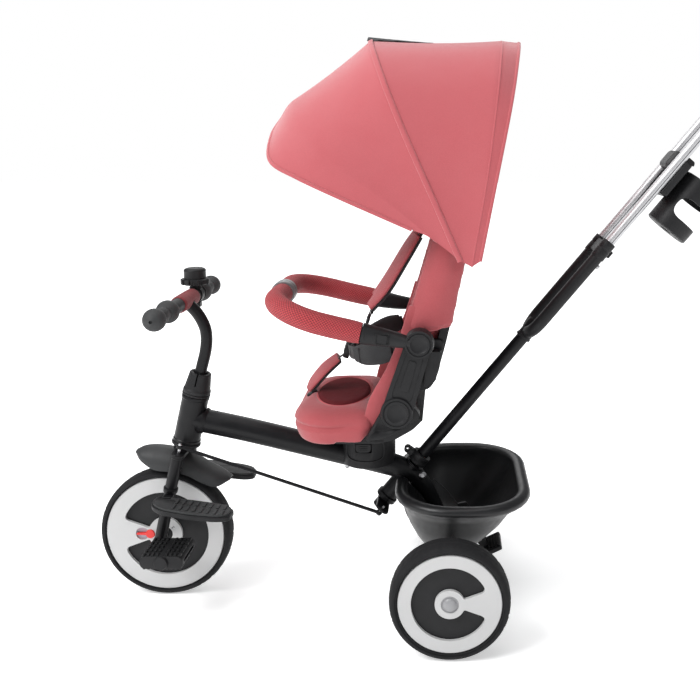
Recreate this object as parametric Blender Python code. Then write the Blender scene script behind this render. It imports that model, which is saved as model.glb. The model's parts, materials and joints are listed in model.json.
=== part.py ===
"""A children's push-along tricycle: three wheels, a swivelling seat with a folding canopy, a rear
bucket and a telescopic parent handle that steers the front wheel through a push rod.

Metres, +Z up. The tricycle faces -X. Left (+Y) and right (-Y) in the names are those of a person who
stands in front of it and faces it. Lengths along X in the helpers are measured back from the front axle."""

import math

import bmesh
import bpy
from mathutils import Matrix, Vector

# ---------------------------------------------------------------- driving dimensions
FRONT_AXLE_X = -0.484
WHEELBASE = 0.546
FRONT_R = 0.125
FRONT_W = 0.041
REAR_R = 0.1033
REAR_W = 0.047
HALF_TRACK = 0.2155
RAKE = math.radians(13.7)
FORK_HALF = 0.048
HEAD_LOW = 0.1855
HEAD_HIGH = 0.279
STEER_ARM = 0.045
HANDLE_TILT = math.radians(50.5)
HANDLE_FOOT = (0.4998, 0.286)
HANDLE_HALF = 0.037
HANDLE_TOP = 0.8716
TUBE_R = 0.012
LOOP_R = 0.0092
SWIVEL_X = 0.392
RECLINE = (0.455, 0.4095)
BAR_HINGE = (0.4947, 0.5353)
CANOPY_PIVOT = (0.575, 0.6865)
REST_PIVOT_Y = 0.0725
CRANK_R = 0.037
CRANK_ANGLE = math.radians(14)
GAP = 0.0004
RUN = 0.0005

# ---------------------------------------------------------------- materials
PALETTE = {
    "black_metal": ((0.012, 0.012, 0.013), 0.32, 0.6),
    "black_plastic": ((0.018, 0.018, 0.019), 0.5, 0.0),
    "grey_plastic": ((0.035, 0.036, 0.037), 0.55, 0.0),
    "light_disc": ((0.62, 0.62, 0.62), 0.4, 0.0),
    "tyre_rubber": ((0.02, 0.02, 0.02), 0.75, 0.0),
    "grip_rubber": ((0.045, 0.047, 0.048), 0.65, 0.0),
    "coral_fabric": ((0.62, 0.16, 0.17), 0.85, 0.0),
    "red_foam": ((0.42, 0.07, 0.08), 0.85, 0.0),
    "silver": ((0.78, 0.78, 0.79), 0.25, 1.0),
    "steel": ((0.55, 0.55, 0.56), 0.3, 1.0),
    "red_plastic": ((0.75, 0.03, 0.03), 0.4, 0.0),
    "webbing": ((0.02, 0.02, 0.022), 0.8, 0.0),
}


def make_material(name):
    colour, roughness, metallic = PALETTE[name]
    material = bpy.data.materials.get(name) or bpy.data.materials.new(name)
    material.use_nodes = True
    shader = material.node_tree.nodes["Principled BSDF"]
    shader.inputs["Base Color"].default_value = (*colour, 1.0)
    shader.inputs["Roughness"].default_value = roughness
    shader.inputs["Metallic"].default_value = metallic
    return material


# ---------------------------------------------------------------- frames of reference
def at(x, y, z):
    """A point x behind the front axle, y across and z above the floor."""
    return Vector((FRONT_AXLE_X + x, y, z))


STEER_AXIS = Vector((math.sin(RAKE), 0, math.cos(RAKE)))
STEER_ACROSS = Vector((math.cos(RAKE), 0, -math.sin(RAKE)))
HANDLE_AXIS = Vector((math.cos(HANDLE_TILT), 0, math.sin(HANDLE_TILT)))
HANDLE_BELOW = Vector((math.sin(HANDLE_TILT), 0, -math.cos(HANDLE_TILT)))
FRONT_AXLE = at(0, 0, FRONT_R)
REAR_AXLE = at(WHEELBASE, 0, REAR_R)


def on_steer(h, across=0.0, y=0.0):
    """A point h up the steering axis from the front axle, and so far behind it."""
    return FRONT_AXLE + STEER_AXIS * h + STEER_ACROSS * across + Vector((0, y, 0))


def on_handle(s, below=0.0, y=0.0):
    """A point s up the push handle's axis from the frame collar, and so far below it."""
    return at(HANDLE_FOOT[0], y, HANDLE_FOOT[1]) + HANDLE_AXIS * s + HANDLE_BELOW * below


# ---------------------------------------------------------------- modelling helpers
def new_object(name, mesh_builder, material=None):
    """An object whose bmesh has its faces made consistent and pointing out."""
    mesh = bpy.data.meshes.new(name)
    bm = bmesh.new()
    mesh_builder(bm)
    bmesh.ops.recalc_face_normals(bm, faces=bm.faces)
    if bm.calc_volume(signed=True) < 0:
        bmesh.ops.reverse_faces(bm, faces=bm.faces)
    bm.to_mesh(mesh)
    bm.free()
    mesh.shade_smooth()
    mesh.set_sharp_from_angle(angle=math.radians(40))
    obj = bpy.data.objects.new(name, mesh)
    bpy.context.scene.collection.objects.link(obj)
    if material:
        mesh.materials.append(make_material(material))
    return obj


def skin(bm, rings, looped=False):
    """Faces between successive rings of equal length, capped at both ends unless looped."""
    loops = [[bm.verts.new(point) for point in ring] for ring in rings]
    pairs = list(zip(loops, loops[1:]))
    if looped:
        pairs.append((loops[-1], loops[0]))
    else:
        bm.faces.new(loops[0])
        bm.faces.new(loops[-1])
    for low, high in pairs:
        for i in range(len(low)):
            j = (i + 1) % len(low)
            bm.faces.new((low[i], low[j], high[j], high[i]))


def frame_of(axis):
    """Two unit vectors that are square to the axis and to each other."""
    axis = Vector(axis).normalized()
    side = Vector((0, 1, 0)) if abs(axis.y) < 0.9 else Vector((1, 0, 0))
    first = (side - axis * side.dot(axis)).normalized()
    return first, axis.cross(first)


def circle(centre, axis, radius, sides, turn=0.0):
    first, second = frame_of(axis)
    angles = [turn + 2 * math.pi * i / sides for i in range(sides)]
    return [centre + radius * (first * math.cos(a) + second * math.sin(a)) for a in angles]


def turned(name, centre, axis, profile, sides, material=None, flats=False):
    """A turned solid: profile lists (radius, place along the axis) round its closed outline."""
    axis = Vector(axis).normalized()
    first, second = frame_of(axis)
    grow = 1 / math.cos(math.pi / sides) if flats else 1.0
    half_step = math.pi / sides if flats else 0.0

    def build(bm):
        rings = []
        for i in range(sides):
            a = 2 * math.pi * i / sides + half_step
            out = first * math.cos(a) + second * math.sin(a)
            rings.append([centre + out * r * grow + axis * h for r, h in profile])
        skin(bm, rings, looped=True)
        bmesh.ops.remove_doubles(bm, verts=bm.verts, dist=1e-6)
        bmesh.ops.dissolve_degenerate(bm, edges=bm.edges, dist=1e-7)

    return new_object(name, build, material)


def disc(name, centre, axis, radius, low, high, sides=20, material=None, bore=0.0):
    """A round bar or a washer from low to high along the axis."""
    if bore:
        profile = [(bore, low), (radius, low), (radius, high), (bore, high)]
        return turned(name, centre, axis, profile, sides, material)
    axis = Vector(axis).normalized()

    def build(bm):
        skin(bm, [circle(centre + axis * h, axis, radius, sides) for h in (low, high)])

    return new_object(name, build, material)


def swept(name, points, radius, sides=12, material=None, bore=0.0, flat=1.0, start=None):
    """A round or oval tube along a route. radius may be a list, flat squeezes it along the normal."""
    radii = radius if isinstance(radius, (list, tuple)) else [radius] * len(points)
    tangents = []
    for i in range(len(points)):
        before, after = points[max(i - 1, 0)], points[min(i + 1, len(points) - 1)]
        tangents.append((after - before).normalized())
    normal = Vector(start) if start else frame_of(tangents[0])[0]

    def section(i, size):
        other = tangents[i].cross(normals[i])
        angles = [2 * math.pi * k / sides for k in range(sides)]
        return [
            points[i] + size * (normals[i] * math.cos(a) * flat + other * math.sin(a))
            for a in angles
        ]

    normals = []
    for tangent in tangents:
        normal = (normal - tangent * normal.dot(tangent)).normalized()
        normals.append(normal)

    def build(bm):
        outer = [section(i, r) for i, r in enumerate(radii)]
        if not bore:
            skin(bm, outer)
            return
        inner = [section(i, bore) for i in reversed(range(len(points)))]
        skin(bm, outer + inner, looped=True)

    return new_object(name, build, material)


def arc(centre, first, second, radius, start, end, steps):
    """Points on an arc, with angles in degrees from the first direction to the second."""
    angles = [math.radians(start + (end - start) * i / steps) for i in range(steps + 1)]
    return [centre + radius * (first * math.cos(a) + second * math.sin(a)) for a in angles]


def spline(points, steps):
    """A smooth curve through the points, by Catmull-Rom, with so many steps a span."""
    ends = [2 * points[0] - points[1], *points, 2 * points[-1] - points[-2]]
    route = []
    for a, b, c, d in zip(ends, ends[1:], ends[2:], ends[3:]):
        for i in range(steps):
            t = i / steps
            route.append(
                0.5 * ((2 * b) + (c - a) * t + (2 * a - 5 * b + 4 * c - d) * t**2
                       + (3 * b - a - 3 * c + d) * t**3)
            )
    return route + [points[-1]]


def slab(name, outline, low, high, axis, material=None):
    """A flat outline of points, extruded from low to high along the axis."""
    axis = Vector(axis)

    def build(bm):
        skin(bm, [[point + axis * h for point in outline] for h in (low, high)])

    return new_object(name, build, material)


def block(name, centre, size, material=None, tilt=0.0, bevel=0.0, segments=1):
    """A box, tilted about Y, with bevelled edges."""
    turn = Matrix.Rotation(tilt, 4, "Y")

    def build(bm):
        place = Matrix.Translation(centre) @ turn @ Matrix.Diagonal((*size, 1))
        bmesh.ops.create_cube(bm, size=1, matrix=place)
        if bevel:
            bmesh.ops.bevel(
                bm, geom=bm.edges[:], offset=bevel, segments=segments, affect="EDGES", profile=0.5
            )

    return new_object(name, build, material)


def combine(obj, other, operation):
    """A Boolean whose second shape is only a guide."""
    other.hide_render = True
    other.display_type = "WIRE"
    modifier = obj.modifiers.new(other.name, "BOOLEAN")
    modifier.operation = operation
    modifier.object = other
    modifier.solver = "EXACT"
    return obj


def add(obj, *others):
    for other in others:
        combine(obj, other, "UNION")
    return obj


def cut(obj, *others):
    for other in others:
        combine(obj, other, "DIFFERENCE")
    return obj


def joint_empty(name, place, parent=None):
    """The empty that a moving group turns or slides about."""
    empty = bpy.data.objects.new(name, None)
    empty.empty_display_size = 0.03
    empty.location = place - (parent.matrix_world.translation if parent else Vector())
    bpy.context.scene.collection.objects.link(empty)
    if parent:
        empty.parent = parent
    bpy.context.view_layer.update()
    return empty


def hang(empty, *objects):
    """Parents the objects, and the guides that cut them, to a joint's empty without moving them."""
    for obj in objects:
        guides = [m.object for m in obj.modifiers if m.type == "BOOLEAN"]
        for piece in (obj, *guides):
            if piece.parent is None:
                piece.parent = empty
                piece.matrix_parent_inverse = empty.matrix_world.inverted()


SIDES = (("left", 1), ("right", -1))


# ---------------------------------------------------------------- frame
def head_and_tube_routes():
    start = on_steer(0.232, 0.004)
    way = [
        start, at(0.16, 0, 0.3272), at(0.26, 0, 0.3025), at(0.346, 0, 0.281), at(0.415, 0, 0.263),
        at(0.462, 0, 0.2475), at(0.492, 0, 0.222), at(0.514, 0, 0.185), at(0.532, 0, 0.145),
        REAR_AXLE,
    ]
    radii = [0.0225, 0.0225, 0.0225, 0.0225, 0.022, 0.0205, 0.017, 0.0135, 0.0125, 0.0125]
    return way, radii


def make_frame():
    way, radii = head_and_tube_routes()
    frame = swept("main_frame", way, radii, 14, "black_metal")
    head = disc("guide_head", FRONT_AXLE, STEER_AXIS, 0.0245, HEAD_LOW, HEAD_HIGH, 24)
    socket = disc("guide_socket", on_handle(0), HANDLE_AXIS, 0.0172, -0.122, -0.002, 16)
    flange = disc("guide_flange", on_handle(0), HANDLE_AXIS, 0.0205, -0.1230, -0.112, 16)
    beam = disc("guide_beam", REAR_AXLE, (0, 1, 0), 0.0125, -0.186, 0.186, 16)
    post = block("guide_brake_post", at(0.578, 0, 0.1125), (0.05, 0.0110, 0.0074))
    lug = block("guide_brake_lug", at(0.603, 0, 0.1130), (0.016, 0.012, 0.016))
    lug_bore = disc("guide_lug_bore", at(0.604, 0, 0.111), (0, 1, 0), 0.0036, -0.02, 0.02, 12)
    axle_bore = disc("guide_axle_bore", REAR_AXLE, (0, 1, 0), 0.0055, -0.2, 0.2, 16)
    head_bore = disc("guide_head_bore", FRONT_AXLE, STEER_AXIS, 0.0162, 0.17, 0.29, 20)
    socket_bore = disc("guide_socket_bore", on_handle(0), HANDLE_AXIS, TUBE_R + RUN, -0.14, 0.01, 20)
    add(frame, head, socket, flange, beam, post, lug)
    cut(frame, head_bore, socket_bore, axle_bore, lug_bore)

    low = [(0.0148, 0.1795), (0.0272, 0.1795), (0.0272, HEAD_LOW - GAP), (0.0158, HEAD_LOW - GAP),
           (0.0158, 0.1985), (0.0148, 0.1985)]
    high = [(0.0148, 0.264), (0.0158, 0.264), (0.0158, HEAD_HIGH + GAP), (0.0262, HEAD_HIGH + GAP),
            (0.0262, HEAD_HIGH + 0.005), (0.0148, HEAD_HIGH + 0.005)]
    turned("head_bearing_lower", FRONT_AXLE, STEER_AXIS, low, 24, "black_plastic")
    turned("head_bearing_upper", FRONT_AXLE, STEER_AXIS, high, 24, "black_plastic")
    disc("rear_axle", REAR_AXLE, (0, 1, 0), 0.005, -0.2345, 0.2345, 14, "steel")
    return way, radii


def rounded_rectangle(x_half, y_half, corner, steps=4):
    """Corner points of a rounded rectangle in X and Y, anticlockwise."""
    points = []
    for sx, sy, start in ((1, 1, 0), (-1, 1, 90), (-1, -1, 180), (1, -1, 270)):
        centre = Vector((sx * (x_half - corner), sy * (y_half - corner), 0))
        for i in range(steps + 1):
            a = math.radians(start + 90 * i / steps)
            points.append(centre + corner * Vector((math.cos(a), math.sin(a), 0)))
    return points


def make_basket(way, radii):
    """An open bucket with a rolled rim; the frame's rear tube passes through a channel in its front."""
    levels = [
        (0.238, 0.1235, 0.170, 0.080, 0.0), (0.2275, 0.1235, 0.170, 0.080, 0.0),
        (0.222, 0.110, 0.158, 0.072, -0.003), (0.178, 0.074, 0.128, 0.052, -0.017),
        (0.1325, 0.047, 0.100, 0.036, -0.023), (0.1215, 0.038, 0.089, 0.032, -0.023),
    ]
    inner = [
        (0.1245, 0.036, 0.087, 0.030, -0.023), (0.135, 0.0445, 0.0975, 0.034, -0.023),
        (0.178, 0.0715, 0.1255, 0.050, -0.017), (0.2225, 0.1065, 0.153, 0.069, -0.002),
        (0.238, 0.1075, 0.154, 0.070, 0.0),
    ]

    def rings(rows):
        return [
            [at(0.5695 + dx, 0, z) + p for p in rounded_rectangle(hx, hy, corner, 3)]
            for z, hx, hy, corner, dx in rows
        ]

    def build(bm):
        skin(bm, rings(levels[::-1] + inner[::-1]))

    basket = new_object("basket", build, "black_plastic")
    channel = swept(
        "guide_basket_channel", way[5:] + [way[-1] + Vector((0, 0, -0.02))],
        [r + 0.004 for r in radii[5:]] + [radii[-1] + 0.004], 10,
    )
    sleeve = disc("guide_basket_socket", on_handle(0), HANDLE_AXIS, 0.0215, -0.135, 0.03, 14)
    cut(basket, channel, sleeve)
    return basket


def make_swivel_base(way, radii):
    profile = [(0.0505, 0.2665), (0.0505, 0.335), (0.047, 0.3432), (0.0200, 0.3432), (0.0200, 0.3480),
               (0.0, 0.3480), (0.0, 0.2665)]
    base = turned("swivel_base", at(SWIVEL_X, 0, 0), (0, 0, 1), profile, 28, "black_plastic")
    tube = swept("guide_base_tube", way[2:7], [r + 2 * GAP for r in radii[2:7]], 14)
    pocket = block("guide_button_pocket", at(SWIVEL_X - 0.006, -0.046, 0.3080), (0.031, 0.024, 0.019))
    cut(base, tube, pocket)
    button = block(
        "swivel_button", at(SWIVEL_X - 0.006, -0.0453, 0.3080), (0.029, 0.012, 0.017),
        "black_plastic", bevel=0.002,
    )
    hang(joint_empty("swivel_button_slide", at(SWIVEL_X - 0.006, -0.0453, 0.3080)), button)


def make_brake():
    pivot = at(0.604, 0, 0.111)
    pedal = block(
        "brake_pedal", at(0.6285, 0, 0.0955), (0.036, 0.062, 0.010), "black_plastic",
        tilt=math.radians(-26), bevel=0.0025,
    )
    ears = [
        slab(
            f"guide_brake_ear_{name}",
            [at(0.598, 0, 0.117), at(0.598, 0, 0.104), at(0.612, 0, 0.088), at(0.622, 0, 0.0945),
             at(0.6105, 0, 0.117)],
            side * 0.0066, side * 0.0105, (0, 1, 0),
        )
        for name, side in SIDES
    ]
    pin = disc("guide_brake_pin", pivot, (0, 1, 0), 0.0032, -0.009, 0.009, 12)
    add(pedal, *ears, pin)
    hang(joint_empty("brake_pivot", pivot), pedal)


# ---------------------------------------------------------------- front end
def make_fork(steer):
    legs = []
    for name, side in SIDES:
        route = [on_steer(h, 0, side * FORK_HALF) for h in (-0.014, 0.02, 0.174)]
        legs.append(swept(f"guide_leg_{name}", route, 0.011, 10))
        legs.append(disc(f"guide_clamp_{name}", on_steer(0, 0, side * FORK_HALF), STEER_AXIS,
                         0.0132, 0.101, 0.110, 12))
    plate = slab(
        "fork",
        [on_steer(0, 0.0125 * math.cos(a), FORK_HALF * math.copysign(1, math.sin(a))
                  + 0.0125 * math.sin(a))
         for a in [math.radians(15 + 30 * i) for i in range(12)]],
        0.169, 0.1775, STEER_AXIS, "black_metal",
    )
    steerer = disc("guide_steerer", FRONT_AXLE, STEER_AXIS, 0.0143, 0.172, 0.300, 20)
    seat_boss = disc("guide_fork_boss", FRONT_AXLE, STEER_AXIS, 0.021, 0.174, 0.1790, 20)
    lugs = []
    for name, side in SIDES:
        lugs.append(block(f"guide_rest_lug_{name}", on_steer(0.0955, 0.002, side * 0.0645),
                          (0.018, 0.0165, 0.0095)))
        lugs.append(disc(f"guide_rest_pin_{name}", rest_pivot(side), (1, 0, 0), 0.0026, -0.016, 0.016, 10))
    pin_hole = disc("guide_rod_hole", on_steer(0, 0, -STEER_ARM), STEER_AXIS, 0.0045, 0.16, 0.19, 14)
    axle_hole = disc("guide_crank_hole", FRONT_AXLE, (0, 1, 0), 0.0062, -0.08, 0.08, 16)
    add(plate, *legs, steerer, seat_boss, *lugs)
    cut(plate, pin_hole, axle_hole)

    collar = [
        (0.0148, HEAD_HIGH + 0.0055), (0.0255, HEAD_HIGH + 0.0055), (0.0245, 0.298), (0.0195, 0.322),
        (0.0115, 0.324), (0.0115, 0.3015), (0.0148, 0.3015),
    ]
    stem_collar = turned("stem_collar", FRONT_AXLE, STEER_AXIS, collar, 24, "black_plastic")

    stem_route = spline(
        [on_steer(0.302), on_steer(0.330), at(0.0875, 0, 0.480), at(0.0906, 0, 0.507),
         at(0.0870, 0, 0.530), at(0.0740, 0, 0.5545), at(0.0545, 0, 0.5755)], 2,
    )
    handlebar = swept("handlebar", stem_route, 0.0110, 10, "black_metal")
    bar = disc("guide_bar", at(0.0545, 0, 0.5765), (0, 1, 0), 0.0108, -0.176, 0.176, 12)
    add(handlebar, bar)

    grips = []
    waist = [
        (0.0, 0.1915), (0.0110, 0.1880), (0.0178, 0.1800), (0.0194, 0.172), (0.0168, 0.162),
        (0.0128, 0.154), (0.0128, 0.124), (0.0172, 0.114), (0.0202, 0.103), (0.0172, 0.092),
        (0.0125, 0.0850), (0.0112, 0.0850), (0.0112, 0.1765), (0.0, 0.1765),
    ]
    for name, side in SIDES:
        profile = [(r, side * h) for r, h in waist]
        grips.append(
            turned(f"grip_{name}", at(0.0545, 0, 0.5765), (0, 1, 0), profile, 14, "grip_rubber")
        )
    pad_profile = [(0.0112, -0.044), (0.0165, -0.0435), (0.0175, -0.03), (0.0175, 0.03),
                   (0.0165, 0.0435), (0.0112, 0.044)]
    pad = turned("bar_pad", at(0.0545, 0, 0.5765), (0, 1, 0), pad_profile, 14, "coral_fabric")
    cut(pad, swept("guide_pad_stem", stem_route, 0.0126, 10))
    bell_spot = at(0.0545, 0.066, 0.5765)
    bell_base = disc("bell_base", bell_spot, (0, 1, 0), 0.0155, -0.009, 0.009, 18, "black_plastic",
                     bore=0.0112)
    bell_foot = disc("guide_bell_foot", bell_spot, (0, 0, 1), 0.010, 0.0125, 0.0225, 12)
    bell_plate = disc("guide_bell_plate", bell_spot, (0, 0, 1), 0.0255, 0.0215, 0.0305, 20)
    add(bell_base, bell_foot, bell_plate)
    cap_profile = [(0.0, 0.0310), (0.0208, 0.0310), (0.0212, 0.046), (0.0190, 0.0505), (0.0, 0.0525)]
    bell_cap = turned("bell_cap", bell_spot, (0, 0, 1), cap_profile, 20, "black_plastic")
    bell = joint_empty("bell_turn", bell_spot, steer)
    hang(bell, bell_cap)
    hang(steer, plate, stem_collar, handlebar, *grips, pad, bell_base)


def make_fender(steer):
    stations = [
        (-0.051, 0.2885, 0.2855, 0.010), (-0.036, 0.2945, 0.2740, 0.0265), (-0.010, 0.2960, 0.2590, 0.033),
        (0.022, 0.2905, 0.2555, 0.0345), (0.052, 0.2790, 0.2480, 0.0345), (0.080, 0.2660, 0.2330, 0.034),
        (0.105, 0.2555, 0.2300, 0.031), (0.1316, 0.2470, 0.2440, 0.010),
    ]
    arch = [(-1.0, 0.0), (-0.93, 0.45), (-0.70, 0.80), (-0.36, 0.96), (0.0, 1.0), (0.36, 0.96),
            (0.70, 0.80), (0.93, 0.45), (1.0, 0.0)]
    wall = 0.0028

    def build(bm):
        rings = []
        for x, top, skirt, half in stations:
            outer = [at(x, u * half, skirt + v * (top - skirt)) for u, v in arch]
            inner = [
                at(x, u * (half - wall), skirt + v * (top - skirt - wall)) for u, v in reversed(arch)
            ]
            rings.append(outer + inner)
        skin(bm, rings)

    fender = new_object("front_fender", build, "grey_plastic")
    stay = disc("guide_fender_stay", FRONT_AXLE, STEER_AXIS, 0.009, 0.160, 0.1685, 14)
    add(fender, stay)
    hang(steer, fender)


def rest_pivot(side):
    """The middle of the pin that a footrest folds up about."""
    return on_steer(0.0955, 0.002, side * REST_PIVOT_Y)


def make_footrests(steer):
    for name, side in SIDES:
        pivot = rest_pivot(side)
        outline = [
            (0.004, 0.0), (0.0, 0.018), (0.006, 0.040), (0.028, 0.055), (0.075, 0.060), (0.125, 0.056),
            (0.148, 0.046), (0.150, 0.012), (0.132, 0.001), (0.075, -0.001), (0.030, 0.0),
        ]
        tilt = math.radians(-7.5)
        points = [
            at(0.003 + x * math.cos(tilt), side * (REST_PIVOT_Y - 0.0035 + y), 0.2260 + x * math.sin(tilt))
            for x, y in outline
        ]
        plate = slab(f"footrest_{name}", points, -0.0125, 0.0, (0, 0, 1), "grey_plastic")
        notch = block(f"guide_rest_notch_{name}", pivot + Vector((0, -side * 0.004, 0)),
                      (0.0192, 0.0240, 0.040))
        bore = disc(f"guide_rest_bore_{name}", pivot, (1, 0, 0), 0.0030, -0.0175, 0.0175, 10)
        cut(plate, notch, bore)
        hang(joint_empty(f"footrest_fold_{name}", pivot, steer), plate)


def wheel_disc(name, centre, side, radius, ring_r, hub_r, opening, bore, material):
    """The pale trim: an outer ring and a hub disc joined by a wedge, round a C-shaped recess."""
    half_wedge = math.radians(20.5)
    thickness = 0.0016
    axis = Vector((0, side, 0))
    trim = disc(name, centre, axis, radius, 0.0, thickness, 30, material, bore=bore)

    def recess(bm):
        steps = 18
        span = 2 * math.pi - 2 * half_wedge
        angles = [opening + half_wedge + span * i / steps for i in range(steps + 1)]
        soft = [min(1.0, 0.93 + 0.07 * min(i, steps - i)) for i in range(steps + 1)]
        outer = [(ring_r * k, a) for k, a in zip(soft, angles)]
        inner = [(hub_r, a) for a in reversed(angles)]
        outline = [
            centre + Vector((r * math.cos(a), 0, r * math.sin(a))) for r, a in outer + inner
        ]
        skin(bm, [[p + axis * h for p in outline] for h in (-0.002, thickness + 0.002)])

    cut(trim, new_object(f"guide_recess_{name}", recess))
    return trim


def tyre_profile(radius, width, bead):
    """Closed outline of a solid tyre: a flat tread band, round shoulders and a flat bead."""
    half = width / 2
    return [
        (bead, -half * 0.86), (radius - 0.0085, -half), (radius - 0.0032, -half * 0.88),
        (radius, -half * 0.55), (radius, half * 0.55), (radius - 0.0032, half * 0.88),
        (radius - 0.0085, half), (bead, half * 0.86),
    ]


def make_front_wheel(steer):
    spin = joint_empty("front_wheel_spin", FRONT_AXLE, steer)
    tyre = turned("front_tyre", FRONT_AXLE, (0, 1, 0), tyre_profile(FRONT_R, FRONT_W, 0.1135), 32,
                  "tyre_rubber", flats=True)
    half = FRONT_W / 2 - 0.0042
    rim_profile = [
        (0.0065, -half - 0.002), (0.0295, -half - 0.002), (0.0302, -half), (0.1128, -half),
        (0.1128, half), (0.0302, half), (0.0295, half + 0.002), (0.0065, half + 0.002),
    ]
    rim = turned("front_rim", FRONT_AXLE, (0, 1, 0), rim_profile, 28, "black_plastic")
    lever_spot = FRONT_AXLE + Vector((-0.0285, 0, 0))
    pocket = disc("guide_lever_pocket", FRONT_AXLE + Vector((-0.0440, -half, 0)), (0, 1, 0), 0.0125,
                  -0.006, 0.006, 20)
    pivot_pocket = disc("guide_lever_hub_pocket", lever_spot + Vector((0, -half, 0)), (0, 1, 0), 0.0098,
                        -0.006, 0.006, 20)
    cut(rim, pocket, pivot_pocket)
    discs = []
    for name, side in SIDES:
        face = FRONT_AXLE + Vector((0, side * (half + 0.0003), 0))
        trim = wheel_disc(f"front_disc_{name}", face, side, 0.1122, 0.0832, 0.0325, math.pi, 0.0310,
                          "light_disc")
        if side < 0:
            cut(trim, pocket, pivot_pocket)
        discs.append(trim)
    lever = disc("clutch_lever", lever_spot + Vector((0, -half, 0)), (0, 1, 0), 0.0088, -0.0035, 0.0050,
                 18, "red_plastic")
    pointer = block("guide_lever_pointer", lever_spot + Vector((-0.0135, -half, 0)),
                    (0.026, 0.006, 0.0055), bevel=0.0012)
    add(lever, pointer)
    hang(spin, tyre, rim, *discs)
    hang(joint_empty("clutch_flip", lever_spot + Vector((0.0086, -half - 0.0010, 0)), spin), lever)

    crank_spin = joint_empty("crank_spin", FRONT_AXLE, steer)
    reach = Vector((math.cos(CRANK_ANGLE), 0, math.sin(CRANK_ANGLE))) * CRANK_R
    arm_y, end_y, bend = 0.0665, 0.1535, 0.006
    route = [
        FRONT_AXLE + Vector((0, end_y, 0)) - reach,
        FRONT_AXLE + Vector((0, arm_y + bend, 0)) - reach,
        FRONT_AXLE + Vector((0, arm_y, 0)) - reach * 0.84,
        FRONT_AXLE + Vector((0, arm_y, 0)) - reach * 0.16,
        FRONT_AXLE + Vector((0, arm_y - bend, 0)),
    ]
    mirrored = [FRONT_AXLE + (FRONT_AXLE - p) for p in reversed(route)]
    crank = swept("crank", route + mirrored, 0.0050, 10, "steel", start=(1, 0, 0.3))
    hang(crank_spin, crank)
    for name, side in SIDES:
        centre = FRONT_AXLE - side * reach + Vector((0, side * 0.114, 0))
        pedal = block(f"pedal_{name}", centre, (0.088, 0.074, 0.024), "black_plastic", bevel=0.006,
                      segments=2)
        bore = disc(f"guide_pedal_bore_{name}", centre, (0, 1, 0), 0.0056, -0.05, 0.05, 12)
        slot = block(f"guide_pedal_slot_{name}", centre, (0.104, 0.056, 0.006))
        cut(pedal, bore, slot)
        add(pedal, disc(f"guide_pedal_hub_{name}", centre, (0, 1, 0), 0.0095, -0.036, 0.036, 14))
        cut(pedal, disc(f"guide_pedal_bore2_{name}", centre, (0, 1, 0), 0.0056, -0.05, 0.05, 12))
        hang(joint_empty(f"pedal_spin_{name}", centre, crank_spin), pedal)


def make_rear_wheels():
    for name, side in SIDES:
        centre = REAR_AXLE + Vector((0, side * HALF_TRACK, 0))
        spin = joint_empty(f"rear_wheel_spin_{name}", centre)
        tyre = turned(f"rear_tyre_{name}", centre, (0, 1, 0), tyre_profile(REAR_R, REAR_W, 0.0892), 28,
                      "tyre_rubber", flats=True)
        half = REAR_W / 2 - 0.0045
        rim_profile = [
            (0.0056, -half - 0.003), (0.0190, -half - 0.003), (0.0205, half - 0.010),
            (0.0740, half - 0.010), (0.0790, -half), (0.0885, -half), (0.0885, half), (0.0056, half),
        ]
        rim = turned(f"rear_rim_{name}", centre, (0, side, 0), rim_profile, 28, "black_plastic")
        trim = wheel_disc(
            f"rear_disc_{name}", centre + Vector((0, side * (half + 0.0003), 0)), side, 0.0880, 0.0655,
            0.0255, 0.0, 0.0142, "light_disc",
        )
        dome = [(0.0, half + 0.0003), (0.0138, half + 0.0003), (0.0138, half + 0.003),
                (0.0095, half + 0.0052), (0.0, half + 0.0060)]
        cap = turned(f"hub_cap_{name}", centre, (0, side, 0), dome, 18, "silver")
        hang(spin, tyre, rim, trim, cap)


# ---------------------------------------------------------------- steering linkage
def make_linkage(steer, handle):
    """The push rod from the fork crown to the arm at the foot of the handle shaft."""
    front = on_steer(0.1895, 0, -STEER_ARM)
    rear = on_handle(-0.1370, 0, -STEER_ARM)
    run = (rear - front).normalized()
    route = [
        front, front + run * 0.012, front + run * 0.06,
        rear - run * 0.06, rear - run * 0.012, rear,
    ]
    rod = swept("steering_rod", route, 0.0034, 10, "black_metal")
    front_pin = disc("guide_front_pin", front, STEER_AXIS, 0.0027, -0.0225, 0.0036, 12)
    front_eye = disc("guide_front_eye", front, STEER_AXIS, 0.0056, -0.0034, 0.0036, 14)
    rear_pin = disc("guide_rear_pin", rear, HANDLE_AXIS, 0.0024, 0.0, 0.0165, 12)
    add(rod, front_eye, front_pin, rear_pin)
    pivot = joint_empty("rod_pivot", front, steer)
    hang(pivot, rod)


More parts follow.
